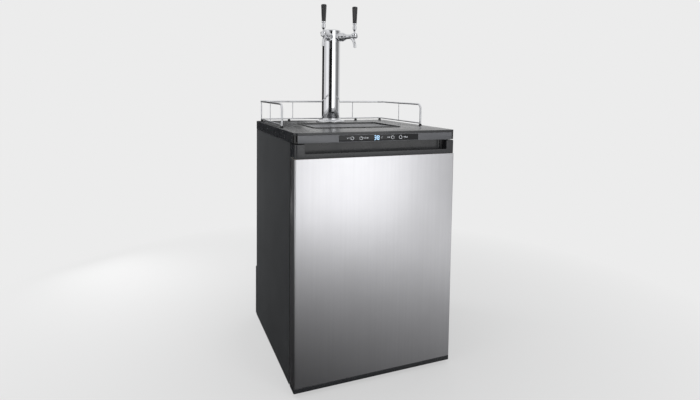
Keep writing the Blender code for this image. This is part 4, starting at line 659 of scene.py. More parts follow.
def line_tree():
    """Copies of one piece evenly spaced along X, centred on the origin."""
    tree, given = new_tree("Row of pieces", Count=("Int", 5), Length=("Float", 0.1))
    index = add_node(tree, "GeometryNodeInputIndex").outputs[0]
    share = math_node(tree, "DIVIDE", index, math_node(tree, "SUBTRACT", given["Count"], 1.0))
    x = math_node(tree, "MULTIPLY", math_node(tree, "SUBTRACT", share, 0.5), given["Length"])
    points = add_node(tree, "GeometryNodePoints", {"Count": given["Count"], "Position": vector_of(tree, X=x)})
    return copies(tree, given, points.outputs[0])


TREES = {}


def repeated(name, tree_name, piece, material, place=Matrix(), **values):
    """A plain mesh of what this tree makes of one piece, which is used up."""
    holder = new_object(name, bpy.data.meshes.new(name))
    change = holder.modifiers.new("repeat", "NODES")
    change.node_group = TREES[tree_name]
    values = {**values, "Piece": piece, "Material": MATERIALS[material]}
    for socket in change.node_group.interface.items_tree:
        if socket.in_out == "INPUT" and socket.name in values:
            change[socket.identifier] = values[socket.name]
    holder = plain(holder)
    bpy.data.objects.remove(piece)
    holder.data.transform(place)
    return holder


def pan_screw(name, radius, axis="Z"):
    """A cross-slotted pan-head screw, whose head stands on the origin."""
    head = turned(name, [(0, radius * 0.75, 0), (radius * 0.62, radius * 0.70, radius * 0.3),
                         (radius, radius * 0.22, radius * 0.2), (radius, 0, 0), (0, 0, 0)], steps=20,
                  rounding_steps=3)
    slots = [block("slot", (-radius * a, -radius * b, radius * 0.35), (radius * a, radius * b, radius))
             for a, b in ((0.55, 0.11), (0.11, 0.55))]
    head = cut_away(head, *slots)
    head.data.transform(AXIS_TURNS[axis])
    return head


# Cabinet
class KEGERATOR_OT_cabinet(bpy.types.Operator):
    """Builds the cabinet's shell, back, base, feet and hinge brackets"""
    bl_idname = "kegerator.cabinet"
    bl_label = "Cabinet"

    def execute(self, context):
        sizes = context.scene.kegerator_sizes
        soften_all("cabinet",
                   ("Cabinet shell", "cabinet_shell", sizes.steel_edge, 2, "Textured powder coat"),
                   ("Back sheet", "back_panel", 0.0003, 2, "Galvanised sheet"),
                   ("Base pan", "base_pan", 0.0004, 2, "Galvanised sheet"),
                   ("Lower hinge bracket", "hinge_bracket_bottom", 0.0006, 2, "Zinc-plated steel"),
                   ("Upper hinge bracket", "hinge_bracket_top", 0.0006, 2, "Zinc-plated steel"),
                   ("Cabinet foam", "foam_insulation", 0, 2, "Rigid polyurethane foam"))
        self.feet()
        return {"FINISHED"}

    def feet(self):
        for side in ("left", "right"):
            node = f"levelling_foot_{side}"
            near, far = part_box(node)
            radius, stud = (far.x - near.x) / 2, 0.004
            pad = turned(f"Levelling foot {side}", [
                (0, far.z, 0), (stud * 0.8, far.z, 0), (stud, far.z - 0.001, 0), (stud, 0.008, 0),
                (radius * 0.42, 0.008, 0.001), (radius * 0.80, 0.0075, 0.002), (radius, 0.0052, 0.002),
                (radius, 0.001, 0.0006), (radius * 0.94, 0, 0), (0, 0, 0)], above(node))
            finish(pad, node, node, material="Moulded black ABS")
            rear = f"rear_foot_{side}"
            top = high(rear).z
            pad = turned(f"Rear foot {side}", [
                (0, top, 0), (radius, top, 0.0006), (radius, 0.003, 0.001), (radius * 0.94, 0, 0.0006),
                (0, 0, 0)], above(rear))
            finish(pad, "cabinet", rear, material="Black rubber")


# The control strip's words as (x, text, size), its touch keys as (x, the ring's gap), and the digits' x
MARKS = ((-0.1155, "°C/°F", 0.0052), (-0.0510, "ON/OFF", 0.0050), (0.0330, "MIN", 0.0056),
         (0.0990, "MAX", 0.0072), (0.0075, "°C", 0.0060))
KEYS = ((-0.1010, 0.0), (-0.0688, 0.9), (0.0486, 0.0), (0.0788, 0.0))
DISPLAY_X = -0.0115


# Door
class KEGERATOR_OT_door(bpy.types.Operator):
    """Builds the door's steel skin, moulded ends, core, lining and magnetic seal"""
    bl_idname = "kegerator.door"
    bl_label = "Door"

    def execute(self, context):
        sizes = context.scene.kegerator_sizes
        soften_all("door",
                   ("Door skin", "door_skin", sizes.steel_edge, 3, "Brushed stainless steel"),
                   ("Door bottom moulding", "door_bottom_cap", sizes.edge, 3, "Moulded black ABS"),
                   ("Door lining", "door_liner", 0.0025, 3, "Thermoformed HIPS"),
                   ("Door seal", "door_seal", 0.0006, 3, "Extruded PVC"),
                   ("Door foam", "door_core", 0, 3, "Rigid polyurethane foam"))
        self.top_moulding(sizes)
        return {"FINISHED"}

    def top_moulding(self, sizes):
        """The moulded top with rounded front corners and a scoop behind its lip, for the fingers."""
        near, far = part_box("door_top_cap")
        corner, span, depth, round_end = 0.009, 0.530, 0.038, 0.014
        lip, lip_height, floor = 0.007, 0.016, 0.005
        corners = [(near.x, near.y, corner), (far.x, near.y, corner), (far.x, far.y, 0), (near.x, far.y, 0)]
        body = prism("Door top moulding", corners, near.z, far.z, sizes.edge)
        half, back, over = span / 2, near.y + depth, 0.01
        cutters = []
        for front, low_z in ((near.y - over, near.z + lip_height), (near.y + lip, near.z + floor)):
            round_front = round_end if front > near.y else 0
            outline = [(-half, front, round_front), (half, front, round_front), (half, back, round_end),
                       (-half, back, round_end)]
            cutters.append(prism("scoop", outline, low_z, far.z + over, sizes.edge))
        finish(cut_away(body, *cutters), "door", "door_top_cap", material="Moulded black ABS")


# Worktop and control strip
def lettering(name, text, size, place, depth=0.0003):
    """Flat letters that face the front, whose middle is at this place."""
    curve = bpy.data.curves.new(name, "FONT")
    curve.body = text
    curve.size = size
    curve.align_x = curve.align_y = "CENTER"
    curve.extrude = depth / 2
    obj = plain(new_object(name, curve))
    obj.data.transform(Matrix.Translation(place) @ spun(90, "X"))
    return obj


def front_ring(name, place, radius, width, gap=0.0, depth=0.0003, steps=40):
    """A flat ring that faces the front, open at its top by this angle."""
    build = bmesh.new()
    start, sweep = radians(90) + gap / 2, tau - gap
    inner, outer = radius - width / 2, radius + width / 2
    loops = []
    for i in range(steps + 1):
        angle = start + sweep * i / steps
        loops.append([build.verts.new((r * cos(angle), y, r * sin(angle))) for r, y in (
            (inner, -depth), (outer, -depth), (outer, 0), (inner, 0))])
    joined(build, loops)
    if gap:
        build.faces.new(loops[0])
        build.faces.new(list(reversed(loops[-1])))
    mesh = mesh_from(build, name)
    mesh.transform(Matrix.Translation(place))
    return new_object(name, mesh)


class KEGERATOR_OT_worktop(bpy.types.Operator):
    """Builds the moulded worktop and the control strip with its display"""
    bl_idname = "kegerator.worktop"
    bl_label = "Worktop and controls"

    def execute(self, context):
        sizes = context.scene.kegerator_sizes
        soften_all("cabinet", ("Worktop moulding", "worktop", sizes.edge * 1.6, 4, "Moulded black ABS"))
        self.strip()
        soften_all("cabinet", ("Display window", "display_window", 0.0006, 3, "Smoked acrylic"))
        self.marks()
        return {"FINISHED"}

    def strip(self):
        """Satin grey between two glossy black rounded ends, with a seat for the display."""
        near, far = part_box("control_fascia")
        window_near, window_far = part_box("display_window")
        end, radius, edge = 0.0115, 0.0110, 0.0008
        grey = block("grey", (near.x + end, near.y, near.z), (far.x - end, far.y, far.z), edge, 2, "X")
        seat = block("seat", (window_near.x - SEAT_GAP, near.y - edge, window_near.z - SEAT_GAP),
                     (window_far.x + SEAT_GAP, window_far.y + SEAT_GAP, window_far.z + SEAT_GAP))
        pieces = [dressed(cut_away(grey, seat), "Satin grey ABS")]
        for side in (-1, 1):
            outer, inner = (near.x, near.x + end) if side < 0 else (far.x, far.x - end)
            corners = [(inner, near.y, 0), (outer, near.y, radius), (outer, far.y, 0), (inner, far.y, 0)]
            pieces.append(dressed(prism("end", corners, near.z, far.z, edge), "Glossy black ABS"))
        finish(merged("Control strip", pieces), "cabinet", "control_fascia")

    def marks(self):
        near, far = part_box("display_window")
        y, z, stroke, ink_depth = near.y, (near.z + far.z) / 2, 0.0009, 0.0003
        printed = [lettering("mark", text, size, (x, y, z)) for x, text, size in MARKS]
        for x, gap in KEYS:
            printed.append(front_ring("key ring", (x, y, z), 0.0054, stroke, gap))
            if gap:
                printed.append(block("key stroke", (x - stroke / 2, y - ink_depth, z + 0.0010),
                                     (x + stroke / 2, y, z + 0.0066)))
        finish(merged("Printed key marks", printed), "cabinet", material="White printing ink")
        digits = self.segments(-0.0062, "3", y, z) + self.segments(0.0052, "8", y, z)
        finish(merged("Display digits", digits), "cabinet", material="Lit display segments")

    def segments(self, offset, digit, y, z):
        """The seven-segment strokes of one digit."""
        half_width, half_height, stroke = 0.0033, 0.0068, 0.0012
        places = [(0, dz, True) for dz in (half_height, 0, -half_height)]
        places += [(side * half_width, dz, False) for side in ((-1, 1) if digit == "8" else (1,))
                   for dz in (half_height / 2, -half_height / 2)]
        made = []
        for dx, dz, flat in places:
            wide = half_width - stroke * 0.7 if flat else stroke / 2
            tall = stroke / 2 if flat else half_height / 2 - stroke * 0.7
            middle_x, middle_z = DISPLAY_X + offset + dx, z + dz
            made.append(block("segment", (middle_x - wide, y - 0.0003, middle_z - tall),
                              (middle_x + wide, y, middle_z + tall)))
        return made


# Drip tray
class KEGERATOR_OT_tray(bpy.types.Operator):
    """Builds the drip tray and its slotted grate"""
    bl_idname = "kegerator.tray"
    bl_label = "Drip tray"

    def execute(self, context):
        soften_all("drip_tray", ("Drip tray", "drip_tray", 0.0007, 3, "Moulded black ABS"))
        self.grate(context.scene.kegerator_sizes)
        return {"FINISHED"}

    def grate(self, sizes):
        """A plate with rows of long slots: a rim, cross bars and three spines."""
        near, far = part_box("drip_grate")
        centre = (near + far) / 2
        steel, rim, corner, inner_corner, round_edge = "Washed stainless steel", 0.011, 0.014, 0.006, 0.0006
        wide, deep = far.x - near.x, far.y - near.y
        build = bmesh.new()
        outer, inner = (rounded([(near.x + i, near.y + i, radius), (far.x - i, near.y + i, radius),
                                 (far.x - i, far.y - i, radius), (near.x + i, far.y - i, radius)], 8)
                        for i, radius in ((0, corner), (rim, inner_corner)))
        shoulder = far.z - round_edge
        loops = []
        for points, inset, z in ((outer, 0, near.z), (outer, 0, shoulder), (outer, round_edge, far.z),
                                 (inner, -round_edge, far.z), (inner, 0, shoulder), (inner, 0, near.z)):
            loops.append([build.verts.new(self.moved(p, centre, inset, z)) for p in points])
        joined(build, loops + loops[:1])
        edge = dressed(new_object("grate rim", mesh_from(build, "grate rim")), steel)
        inside_x, inside_y = wide - 2 * rim, deep - 2 * rim
        rows = round(inside_y / sizes.grate_pitch) - 1
        thick, half_bar, into_rim = (far.z - near.z) / 2, sizes.grate_pitch * 0.22, 0.001
        bar_piece = block("grate bar", (-inside_x / 2 - into_rim, -half_bar, -thick),
                          (inside_x / 2 + into_rim, half_bar, thick), round_edge, 2, "X")
        bars = repeated("grate bars", "Grid of pieces", bar_piece, steel, Matrix.Translation(centre),
                        Columns=1, Rows=rows, Width=0.0, Height=inside_y - 2 * sizes.grate_pitch)
        half_spine = 0.003
        spine_piece = block("grate spine", (-half_spine, -inside_y / 2 - into_rim, -thick),
                            (half_spine, inside_y / 2 + into_rim, thick - 0.0002), 0.0004, 2, "Y")
        spines = repeated("grate spines", "Row of pieces", spine_piece, steel, Matrix.Translation(centre),
                          Count=3, Length=inside_x / 2)
        obj = merged("Drip grate", [edge, bars, spines])
        smooth(obj.data)
        finish(obj, "drip_grate", "drip_grate")

    def moved(self, point, centre, inset, z):
        """An outline's point drawn towards the middle by inset, at height z."""
        x = point.x - copysign(inset, point.x - centre.x)
        y = point.y - copysign(inset, point.y - centre.y)
        return (x, y, z)


# Guard rail
class KEGERATOR_OT_rail(bpy.types.Operator):
    """Builds the guard rail and its rubber feet"""
    bl_idname = "kegerator.rail"
    bl_label = "Guard rail"

    def execute(self, context):
        near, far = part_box("guard_rail")
        radius, base_radius, upright, post, bend = 0.0038, 0.0028, 0.0016, 0.0026, 0.020
        x, back, front, top = far.x - radius, far.y - radius, near.y + radius, far.z - radius
        foot = high("rail_foot_1").z + SEAT_GAP
        base = foot + base_radius
        path = bent([(-x, front, foot), (-x, front, top), (-x, back, top), (x, back, top), (x, front, top),
                     (x, front, foot)], bend)
        pieces = [bar("top wire", path, radius, sides=8)]
        path = bent([(-x, front, base), (-x, back, base), (x, back, base), (x, front, base)], bend)
        pieces.append(bar("base wire", path, base_radius, sides=8))
        halfway, out = (front + back) / 2, 0.142
        for px, py in ((-x, halfway), (x, halfway), (-out, back), (out, back)):
            pieces.append(bar("upright", [(px, py, base), (px, py, top)], upright, sides=5))
        pieces.append(bar("corner post", [(-x, back - bend, base), (-x, back - bend, top)], post, sides=6))
        rail = merged("Guard rail", pieces)
        smooth(rail.data)
        finish(rail, "cabinet", "guard_rail", material="Chromed steel wire")
        for i in range(1, 7):
            node = f"rail_foot_{i}"
            near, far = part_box(node)
            radius = (far.x - near.x) / 2
            obj = turned(f"Rail foot {i}", [(0, far.z, 0), (radius * 0.8, far.z, 0.0012),
                                            (radius, near.z, 0.0006), (0, near.z, 0)], above(node), steps=32)
            finish(obj, "cabinet", node, material="Black rubber")
        return {"FINISHED"}


# Tower
class KEGERATOR_OT_tower(bpy.types.Operator):
    """Builds the tower's flange with its screws, the column and the cap"""
    bl_idname = "kegerator.tower"
    bl_label = "Tower"

    def execute(self, context):
        chrome, place = "Chromed brass", at(0, TOWER_Y, 0)
        near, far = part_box("tower_flange")
        base, radius = near.z + 0.007, (far.x - near.x) / 2
        collar = COLUMN_RADIUS + SEAT_GAP
        flange = turned("flange", [
            (0.025, near.z, 0), (0.025, base, 0), (collar, base, 0), (collar, far.z, 0.0003),
            (collar + 0.0036, far.z, 0.0016), (collar + 0.0042, base + 0.004, 0.003),
            (radius - 0.011, base, 0.002), (radius - 0.003, base - 0.0006, 0.002),
            (radius, base - 0.0034, 0.001), (radius, near.z, 0)], place, steps=96, closed=True)
        screws = repeated("flange screws", "Ring of pieces", pan_screw("flange screw", 0.0044), chrome,
                          at(0, TOWER_Y, base - 0.0004), Count=4, Radius=radius - 0.0095,
                          Start=radians(45))
        finish(merged("Tower flange", [flange, screws]), "cabinet", "tower_flange", material=chrome)
        near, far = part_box("tower_column")
        wall = COLUMN_RADIUS - 0.0015
        column = turned("Tower column", [
            (wall, near.z, 0), (wall, far.z, 0), (COLUMN_RADIUS, far.z, 0.0004),
            (COLUMN_RADIUS, near.z, 0.0004)], place, steps=128, closed=True)
        holes = [turned("hole", pin(SHANK_HOLE, 0, 0.05), tap_frame(side), "-Y", 40)
                 for side in ("left", "right")]
        finish(cut_away(column, *holes), "cabinet", "tower_column", material=chrome)
        near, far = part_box("tower_cap")
        lip, plug = (far.x - near.x) / 2, wall - SEAT_GAP
        seat, height = far.z - 0.010, far.z
        cap = turned("Tower cap", [
            (0, height, 0), (lip * 0.55, height - 0.0004, 0.010), (lip * 0.93, height - 0.0028, 0.0035),
            (lip, height - 0.0062, 0.002), (lip, seat, 0.0008), (plug, seat, 0), (plug, near.z, 0.0006),
            (plug - 0.003, near.z, 0.0004), (plug - 0.003, seat, 0), (0, seat, 0)], place, steps=96)
        finish(cap, "cabinet", "tower_cap", material=chrome)
        return {"FINISHED"}


# Taps. In a tap's own frame, -Y points out along its shank.
def tap_frame(side):
    turn = -TAP_ANGLE if side == "left" else TAP_ANGLE
    return at(0, TOWER_Y, SHANK_Z) @ Matrix.Rotation(turn, 4, "Z")


REACH = 0.118  # column's axis to the lever's pivot
PIVOT = 0.0105  # lever's pivot over the shank
SADDLE = 0.007  # shank's saddle on the column
NUT_LENGTH = 0.024
NUT_LOW = COLUMN_RADIUS + SADDLE + 2 * SEAT_GAP
NUT_HIGH = NUT_LOW + NUT_LENGTH
BARREL_LOW = NUT_LOW + NUT_LENGTH * 0.6  # the barrel reaches into its nut
SHANK_HOLE = 0.0113  # radius of the holes that the shanks pass


def ramp(value, start, end):
    """0 up to start, 1 from end on, and even between."""
    return min(1, max(0, (value - start) / (end - start)))


class KEGERATOR_OT_taps(bpy.types.Operator):
    """Builds both taps: shank, coupling nut, body with its spout, shaft, lever and handle"""
    bl_idname = "kegerator.taps"
    bl_label = "Taps"

    def execute(self, context):
        for side in ("left", "right"):
            here = tap_frame(side)
            self.shank(side, here)
            self.nut(side, here)
            self.body(side, here)
            self.shaft(side, here)
            self.lever(side, here @ at(0, -REACH, PIVOT))
        return {"FINISHED"}

    def shank(self, side, here):
        end, seat = BARREL_LOW - SEAT_GAP, COLUMN_RADIUS + SEAT_GAP
        core = turned("shank core", [(0.0035, 0.0175, 0), (0.011, 0.0175, 0.0005), (0.011, end, 0.0005),
                                     (0.0035, end, 0)][::-1], here, "-Y", 40, closed=True)
        saddle = turned("shank saddle", [
            (0.0114, seat + 0.0067, 0), (0.0145, seat + 0.0067, 0.001), (0.0170, seat + 0.0040, 0.0015),
            (0.0170, 0.030, 0), (0.0114, 0.030, 0)][::-1], here, "-Y", 64, closed=True)
        clear = turned("column clearance", pin(seat, 0.05, -0.05), at(0, TOWER_Y, SHANK_Z), steps=128)
        saddle = cut_away(saddle, clear)
        finish(merged(f"Shank {side}", [core, saddle]), "cabinet", f"shank_{side}",
               material="Chromed brass")

    def nut(self, side, here):
        """The coupling nut, with notches for its hook spanner."""
        bore, radius = SHANK_HOLE, 0.0185
        nut = turned(f"Coupling nut {side}", [
            (bore, NUT_LOW, 0.0003), (bore, NUT_HIGH, 0), (radius * 0.76, NUT_HIGH, 0.0008),
            (radius * 0.90, NUT_HIGH - 0.006, 0.002), (radius, NUT_HIGH - 0.009, 0.0015),
            (radius, NUT_LOW + 0.003, 0.0012), (radius * 0.93, NUT_LOW, 0.0006)], steps=96, closed=True)
        notch = turned("notch", pin(0.0026, 0.016, 0), at(0, 0, NUT_LOW + 0.004), steps=20)
        notches = repeated("notches", "Ring of pieces", notch, "Chromed brass", Count=6,
                           Radius=radius + 0.001)
        nut = cut_away(nut, notches)
        nut.data.transform(here @ AXIS_TURNS["-Y"])
        finish(nut, "cabinet", f"coupling_nut_{side}", material="Chromed brass")

    def body(self, side, here):
        """Barrel, bonnet and curved spout, blended into one casting."""
        nose = REACH + 0.0125
        barrel = turned("barrel", [
            (0, nose, 0), (0.0062, nose, 0.002), (0.0095, nose - 0.0038, 0.003),
            (0.0093, REACH - 0.014, 0.004), (0.0100, NUT_HIGH + 0.013, 0.004),
            (0.0108, NUT_HIGH + 0.006, 0.002), (0.0132, NUT_HIGH + 0.003, 0.001),
            (0.0135, NUT_HIGH + SEAT_GAP, 0.0004), (0.0107, NUT_HIGH + SEAT_GAP, 0),
            (0.0107, BARREL_LOW, 0.0004), (0, BARREL_LOW, 0)], here, "-Y", 64)
        up = here @ at(0, -REACH, 0)
        top = PIVOT + 0.003
        bonnet = turned("bonnet", [
            (0, top, 0), (0.0098, top, 0.0006), (0.0118, top - 0.0016, 0.0008),
            (0.0124, top - 0.0038, 0.0006), (0.0124, 0.0038, 0.0006), (0.0104, 0.0020, 0.0005),
            (0.0104, 0.0006, 0.0005), (0.0116, -0.0008, 0.001), (0.0096, -0.0060, 0.002),
            (0, -0.0060, 0)], up, steps=64)
        steps, drop, inset = 28, 0.0445, 0.0018
        start, reach = REACH - 0.0237, 0.0262
        wide, taper, flare, flare_start = 1.16, 0.42, 0.10, 0.88
        path, radii = [], []
        for i in range(steps + 1):
            share = i / steps
            angle = radians(90) * share
            path.append(here @ Vector((0, -start - reach * sin(angle), -drop * (1 - cos(angle)) - inset)))
            radii.append(wide - taper * share ** 0.8 + flare * ramp(share, flare_start, 1))
        spout = bar("spout", path, 0.0072, sides=12, radii=radii)
        barrel = combined(barrel, (bonnet, spout), "UNION")
        end = here.inverted() @ path[-1]
        mouth = turned("mouth", pin(0.0041, 0.004, -0.012)[::-1],
                       here @ at(end.x, end.y, end.z + 0.001), "Z", 32)
        ball = 0.0068
        socket = turned("socket", [(0, top + 0.004, 0), (ball, top + 0.004, 0), (ball, PIVOT - ball, 0.003),
                                   (0, PIVOT - ball, 0)], up, steps=48)
        bore = turned("shaft bore", pin(0.0048, REACH + 0.0068, BARREL_LOW - 0.005), here, "-Y", 32)
        slot = block("tail slot", (-0.003, -REACH - 0.003, 0), (0.003, 0.008 - REACH, PIVOT))
        slot.data.transform(here)
        body = cut_away(barrel, mouth, socket, bore, slot)
        body.name = f"Tap body {side}"
        smooth(body.data, 40)
        finish(body, "cabinet", f"tap_body_{side}", material="Chromed brass")

    def shaft(self, side, here):
        obj = turned(f"Tap shaft {side}", [
            (0, REACH + 0.006, 0), (0.004, REACH + 0.006, 0.0006), (0.004, 0.077, 0.0006),
            (0, 0.077, 0)], here, "-Y", 32)
        slot = block("slot", (-0.0029, -REACH - 0.004, -0.002), (0.0029, 0.004 - REACH, 0.006))
        slot.data.transform(here)
        finish(cut_away(obj, slot), f"tap_shaft_{side}", f"tap_shaft_{side}", material="Chromed brass")

    def lever(self, side, pivot):
        body = f"tap_lever_{side}"
        foot, ferrule = 0.054 - PIVOT, 0.0224 - PIVOT
        ball = 0.0062
        arc = [(ball * sin(a), ball * cos(a), 0) for a in (radians(30 + 128 * i / 20) for i in range(21))]
        collar = 0.0078
        lever = turned(f"Lever {side}", [
            (0, foot + 0.016, 0), (0.0045, foot + 0.016, 0.0006), (0.0045, foot - SEAT_GAP, 0),
            (collar, foot - SEAT_GAP, 0.0008), (collar, foot - 0.0055, 0.0008),
            (collar * 0.78, foot - 0.0070, 0.0006), (collar * 0.78, foot - 0.0105, 0.0006),
            (collar * 0.95, foot - 0.0120, 0.0008), (collar * 0.95, ferrule + 0.0055, 0.0012),
            (collar * 0.62, ferrule + 0.0010, 0.0012), (0.0032, ferrule - 0.0024, 0.001), *arc,
            (0.0022, -0.0080, 0), (0, -0.0100, 0)], pivot, steps=48)
        finish(lever, body, f"lever_{side}", material="Chromed brass")
        self.handle(side, body, pivot @ at(0, 0, foot))

    def handle(self, side, body, here):
        """A tapered handle, wider at its top, with eight shallow flutes down its sides."""
        length, low_radius, top_radius, flutes, depth = 0.068, 0.0085, 0.0112, 8, 0.0011
        bore, bore_depth = 0.0048, 0.0163
        rows, steps = 60, 96
        build = bmesh.new()
        rings = []
        for row in range(rows + 1):
            share = row / rows
            radius = low_radius + (top_radius - low_radius) * ramp(share, 0.04, 0.90)
            for end, end_share, smallest in ((share, 0.035, 0.90), (1 - share, 0.055, 0.62)):
                radius *= smallest + (1 - smallest) * sqrt(1 - (1 - ramp(end, 0, end_share)) ** 2)
            blend = ramp(share, 0.08, 0.15) * ramp(1 - share, 0.07, 0.14)
            fade = blend * blend * (3 - 2 * blend)
            ring = []
            for i in range(steps):
                angle = tau * i / steps
                r = radius - depth * fade * (1 + cos(flutes * angle)) / 2
                ring.append(build.verts.new((r * cos(angle), r * sin(angle), share * length)))
            rings.append(ring)
        bore_high, bore_low = (circle(build, bore, z, steps) for z in (bore_depth, 0))
        joined(build, [bore_high, bore_low, *rings])
        build.faces.new(rings[-1])
        build.faces.new(list(reversed(bore_high)))
        mesh = mesh_from(build, "handle", 50)
        mesh.transform(here)
        obj = new_object(f"Tap handle {side}", mesh)
        finish(obj, body, f"tap_handle_{side}", material="Black phenolic")


# Rear
class KEGERATOR_OT_rear(bpy.types.Operator):
    """Builds the condenser, the machine cover with its screws, the cord's gland and the compressor"""
    bl_idname = "kegerator.rear"
    bl_label = "Rear"

    def execute(self, context):
        self.condenser(context.scene.kegerator_sizes)
        self.cover()
        self.gland()
        self.compressor()
        return {"FINISHED"}

    def condenser(self, sizes):
        """Upright wires on a serpentine tube, held by two side channels and three flat straps."""
        enamel = "Black stoving enamel"
        near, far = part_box("condenser_wires")
        radius, channel, strap = sizes.wire / 2, 0.0015, 0.006
        face = far.y - radius
        wire = bar("wire", [(0, face, near.z + 0.0006), (0, face, far.z - 0.0006)], radius, sides=2)
        span = far.x - near.x - 2 * strap
        pieces = [repeated("wires", "Row of pieces", wire, enamel, Count=round(span / sizes.wire_pitch) + 1,
                           Length=span)]
        rise = (far.z - near.z - strap) / 2
        for i in range(3):
            z = near.z + rise * i
            pieces.append(block("strap", (near.x + channel, face - radius - 0.0008, z),
                                (far.x - channel, face - radius, z + strap), 0.0003, 1))
        for x in (near.x, far.x - channel):
            pieces.append(block("channel", (x, near.y, near.z), (x + channel, far.y - 0.0006, far.z),
                                0.0005, 2))
        finish(merged("Condenser wires", pieces), "cabinet", "condenser_wires", material=enamel)
        near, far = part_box("condenser_tube")
        radius = (far.y - near.y) / 2
        passes = 7
        pitch = (far.z - near.z - 2 * radius) / (passes - 1)
        end = near.x + radius + pitch / 2
        corners = []
        for i in range(passes):
            side = 1 if i % 2 else -1
            z = near.z + radius + pitch * i
            corners += [(way * (end - pitch / 2), near.y + radius, z) for way in (-side, side)]
        tube = bar("Condenser tube", bent(corners, pitch * 0.46, 10), radius)
        finish(tube, "cabinet", "condenser_tube", material=enamel)

    def cover(self):
        """A folded tray of sheet steel, open to the front, with three columns of air slots."""
        near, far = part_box("machine_cover")
        wall, slot, rows, columns = 0.0015, 0.006, 7, 3
        enamel, middle_z = "Black stoving enamel", (near.z + far.z) / 2
        shell = block("shell", near, far, 0.0030, 4)
        inside = block("inside", (near.x + wall, near.y - wall, near.z + wall),
                       (far.x - wall, far.y - wall, far.z - wall), 0.0015, 3)
        half = (far.x - near.x) / 10
        piece = block("slot", (-half, -slot / 2, -0.01), (half, slot / 2, 0.01), slot / 2.2, 5, "Z")
        place = at(0, far.y, middle_z) @ spun(90, "X")
        pitch = (far.z - near.z) / (rows + 1)
        slots = repeated("slots", "Grid of pieces", piece, enamel, place, Columns=columns, Rows=rows,
                         Width=(far.x - near.x) / 2, Height=pitch * (rows - 1))
        cover = cut_away(shell, inside, slots)
        cover.name = "Machine cover"
        finish(cover, "cabinet", "machine_cover", material=enamel)
        for name, node, columns, rows, inset, rise in (("Cover screws", "machine_cover", 4, 2, 0.024, 0.018),
                                                       ("Back screws", "back_panel", 2, 5, 0.016, 0.06)):
            near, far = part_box(node)
            screws = repeated(name, "Grid of pieces", pan_screw("screw", 0.0042, "Y"), "Zinc-plated steel",
                              at(0, far.y, (near.z + far.z) / 2) @ spun(90, "X"), Columns=columns, Rows=rows,
                              Width=far.x - near.x - inset, Height=far.z - near.z - rise)
            finish(screws, "cabinet")

    def gland(self):
        near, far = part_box("cord_gland")
        centre = middle("cord_gland")
        radius = (far.z - near.z) / 2
        hole = radius / 1.5
        gland = turned("Cord gland", [
            (0, far.y, 0), (0.0030, far.y, 0.0004), (0.0030, far.y - 0.0008, 0),
            (hole, far.y - 0.0006, 0.0006), (hole, near.y + hole + 0.0001, 0),
            (radius, near.y + hole, 0.0008), (radius, near.y, 0.0008), (0, near.y, 0)],
            at(centre.x, 0, centre.z), "Y", 40)
        finish(gland, "cabinet", "cord_gland", material="Black rubber")

    def compressor(self):
        """A welded pot with a rolled seam and a relay box, on a plate with rubber grommets."""
        near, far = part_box("compressor")
        x, r = (near.x + far.x) / 2, 0.052
        y = far.y - r * 1.07
        base, h = near.z + 0.010, far.z - near.z - 0.010
        place = at(x, y, base)
        pot = turned("pot", [
            (0, h, 0), (r * 0.62, h * 0.97, 0.02), (r * 0.96, h * 0.84, 0.016), (r, h * 0.56, 0.004),
            (r * 1.06, h * 0.555, 0.0012), (r * 1.06, h * 0.52, 0.0012), (r, h * 0.515, 0.002),
            (r, h * 0.17, 0.012), (r * 0.80, 0.0008, 0.008), (0, 0.0008, 0)], place, steps=72)
        plate = block("plate", (x - 1.5 * r, y - r, base + h / 20), (x + 1.5 * r, y + r, base + h / 12),
                      r / 3, 6, "Z")
        relay = block("relay", (x - r / 2, y - 1.06 * r, base + h / 5), (x + r / 2, y, base + h / 2), 0.003)
        pieces = [dressed(piece, "Black stoving enamel") for piece in (pot, plate, relay)]
        for sx in (-1, 1):
            for sy in (-1, 1):
                place = at(x + sx * 1.3 * r, y + sy * 0.75 * r, 0)
                top = base + h / 15
                grommet = turned("grommet", [
                    (0, top, 0), (0.0085, top, 0.001), (0.0098, top - 0.004, 0.002),
                    (0.0082, near.z + 0.007, 0.0015), (0.0098, near.z + 0.004, 0.002),
                    (0.0098, near.z, 0.001), (0, near.z, 0)], place, steps=32)
                pieces.append(dressed(grommet, "Black rubber"))
        finish(merged("Compressor", pieces), "cabinet", "compressor")


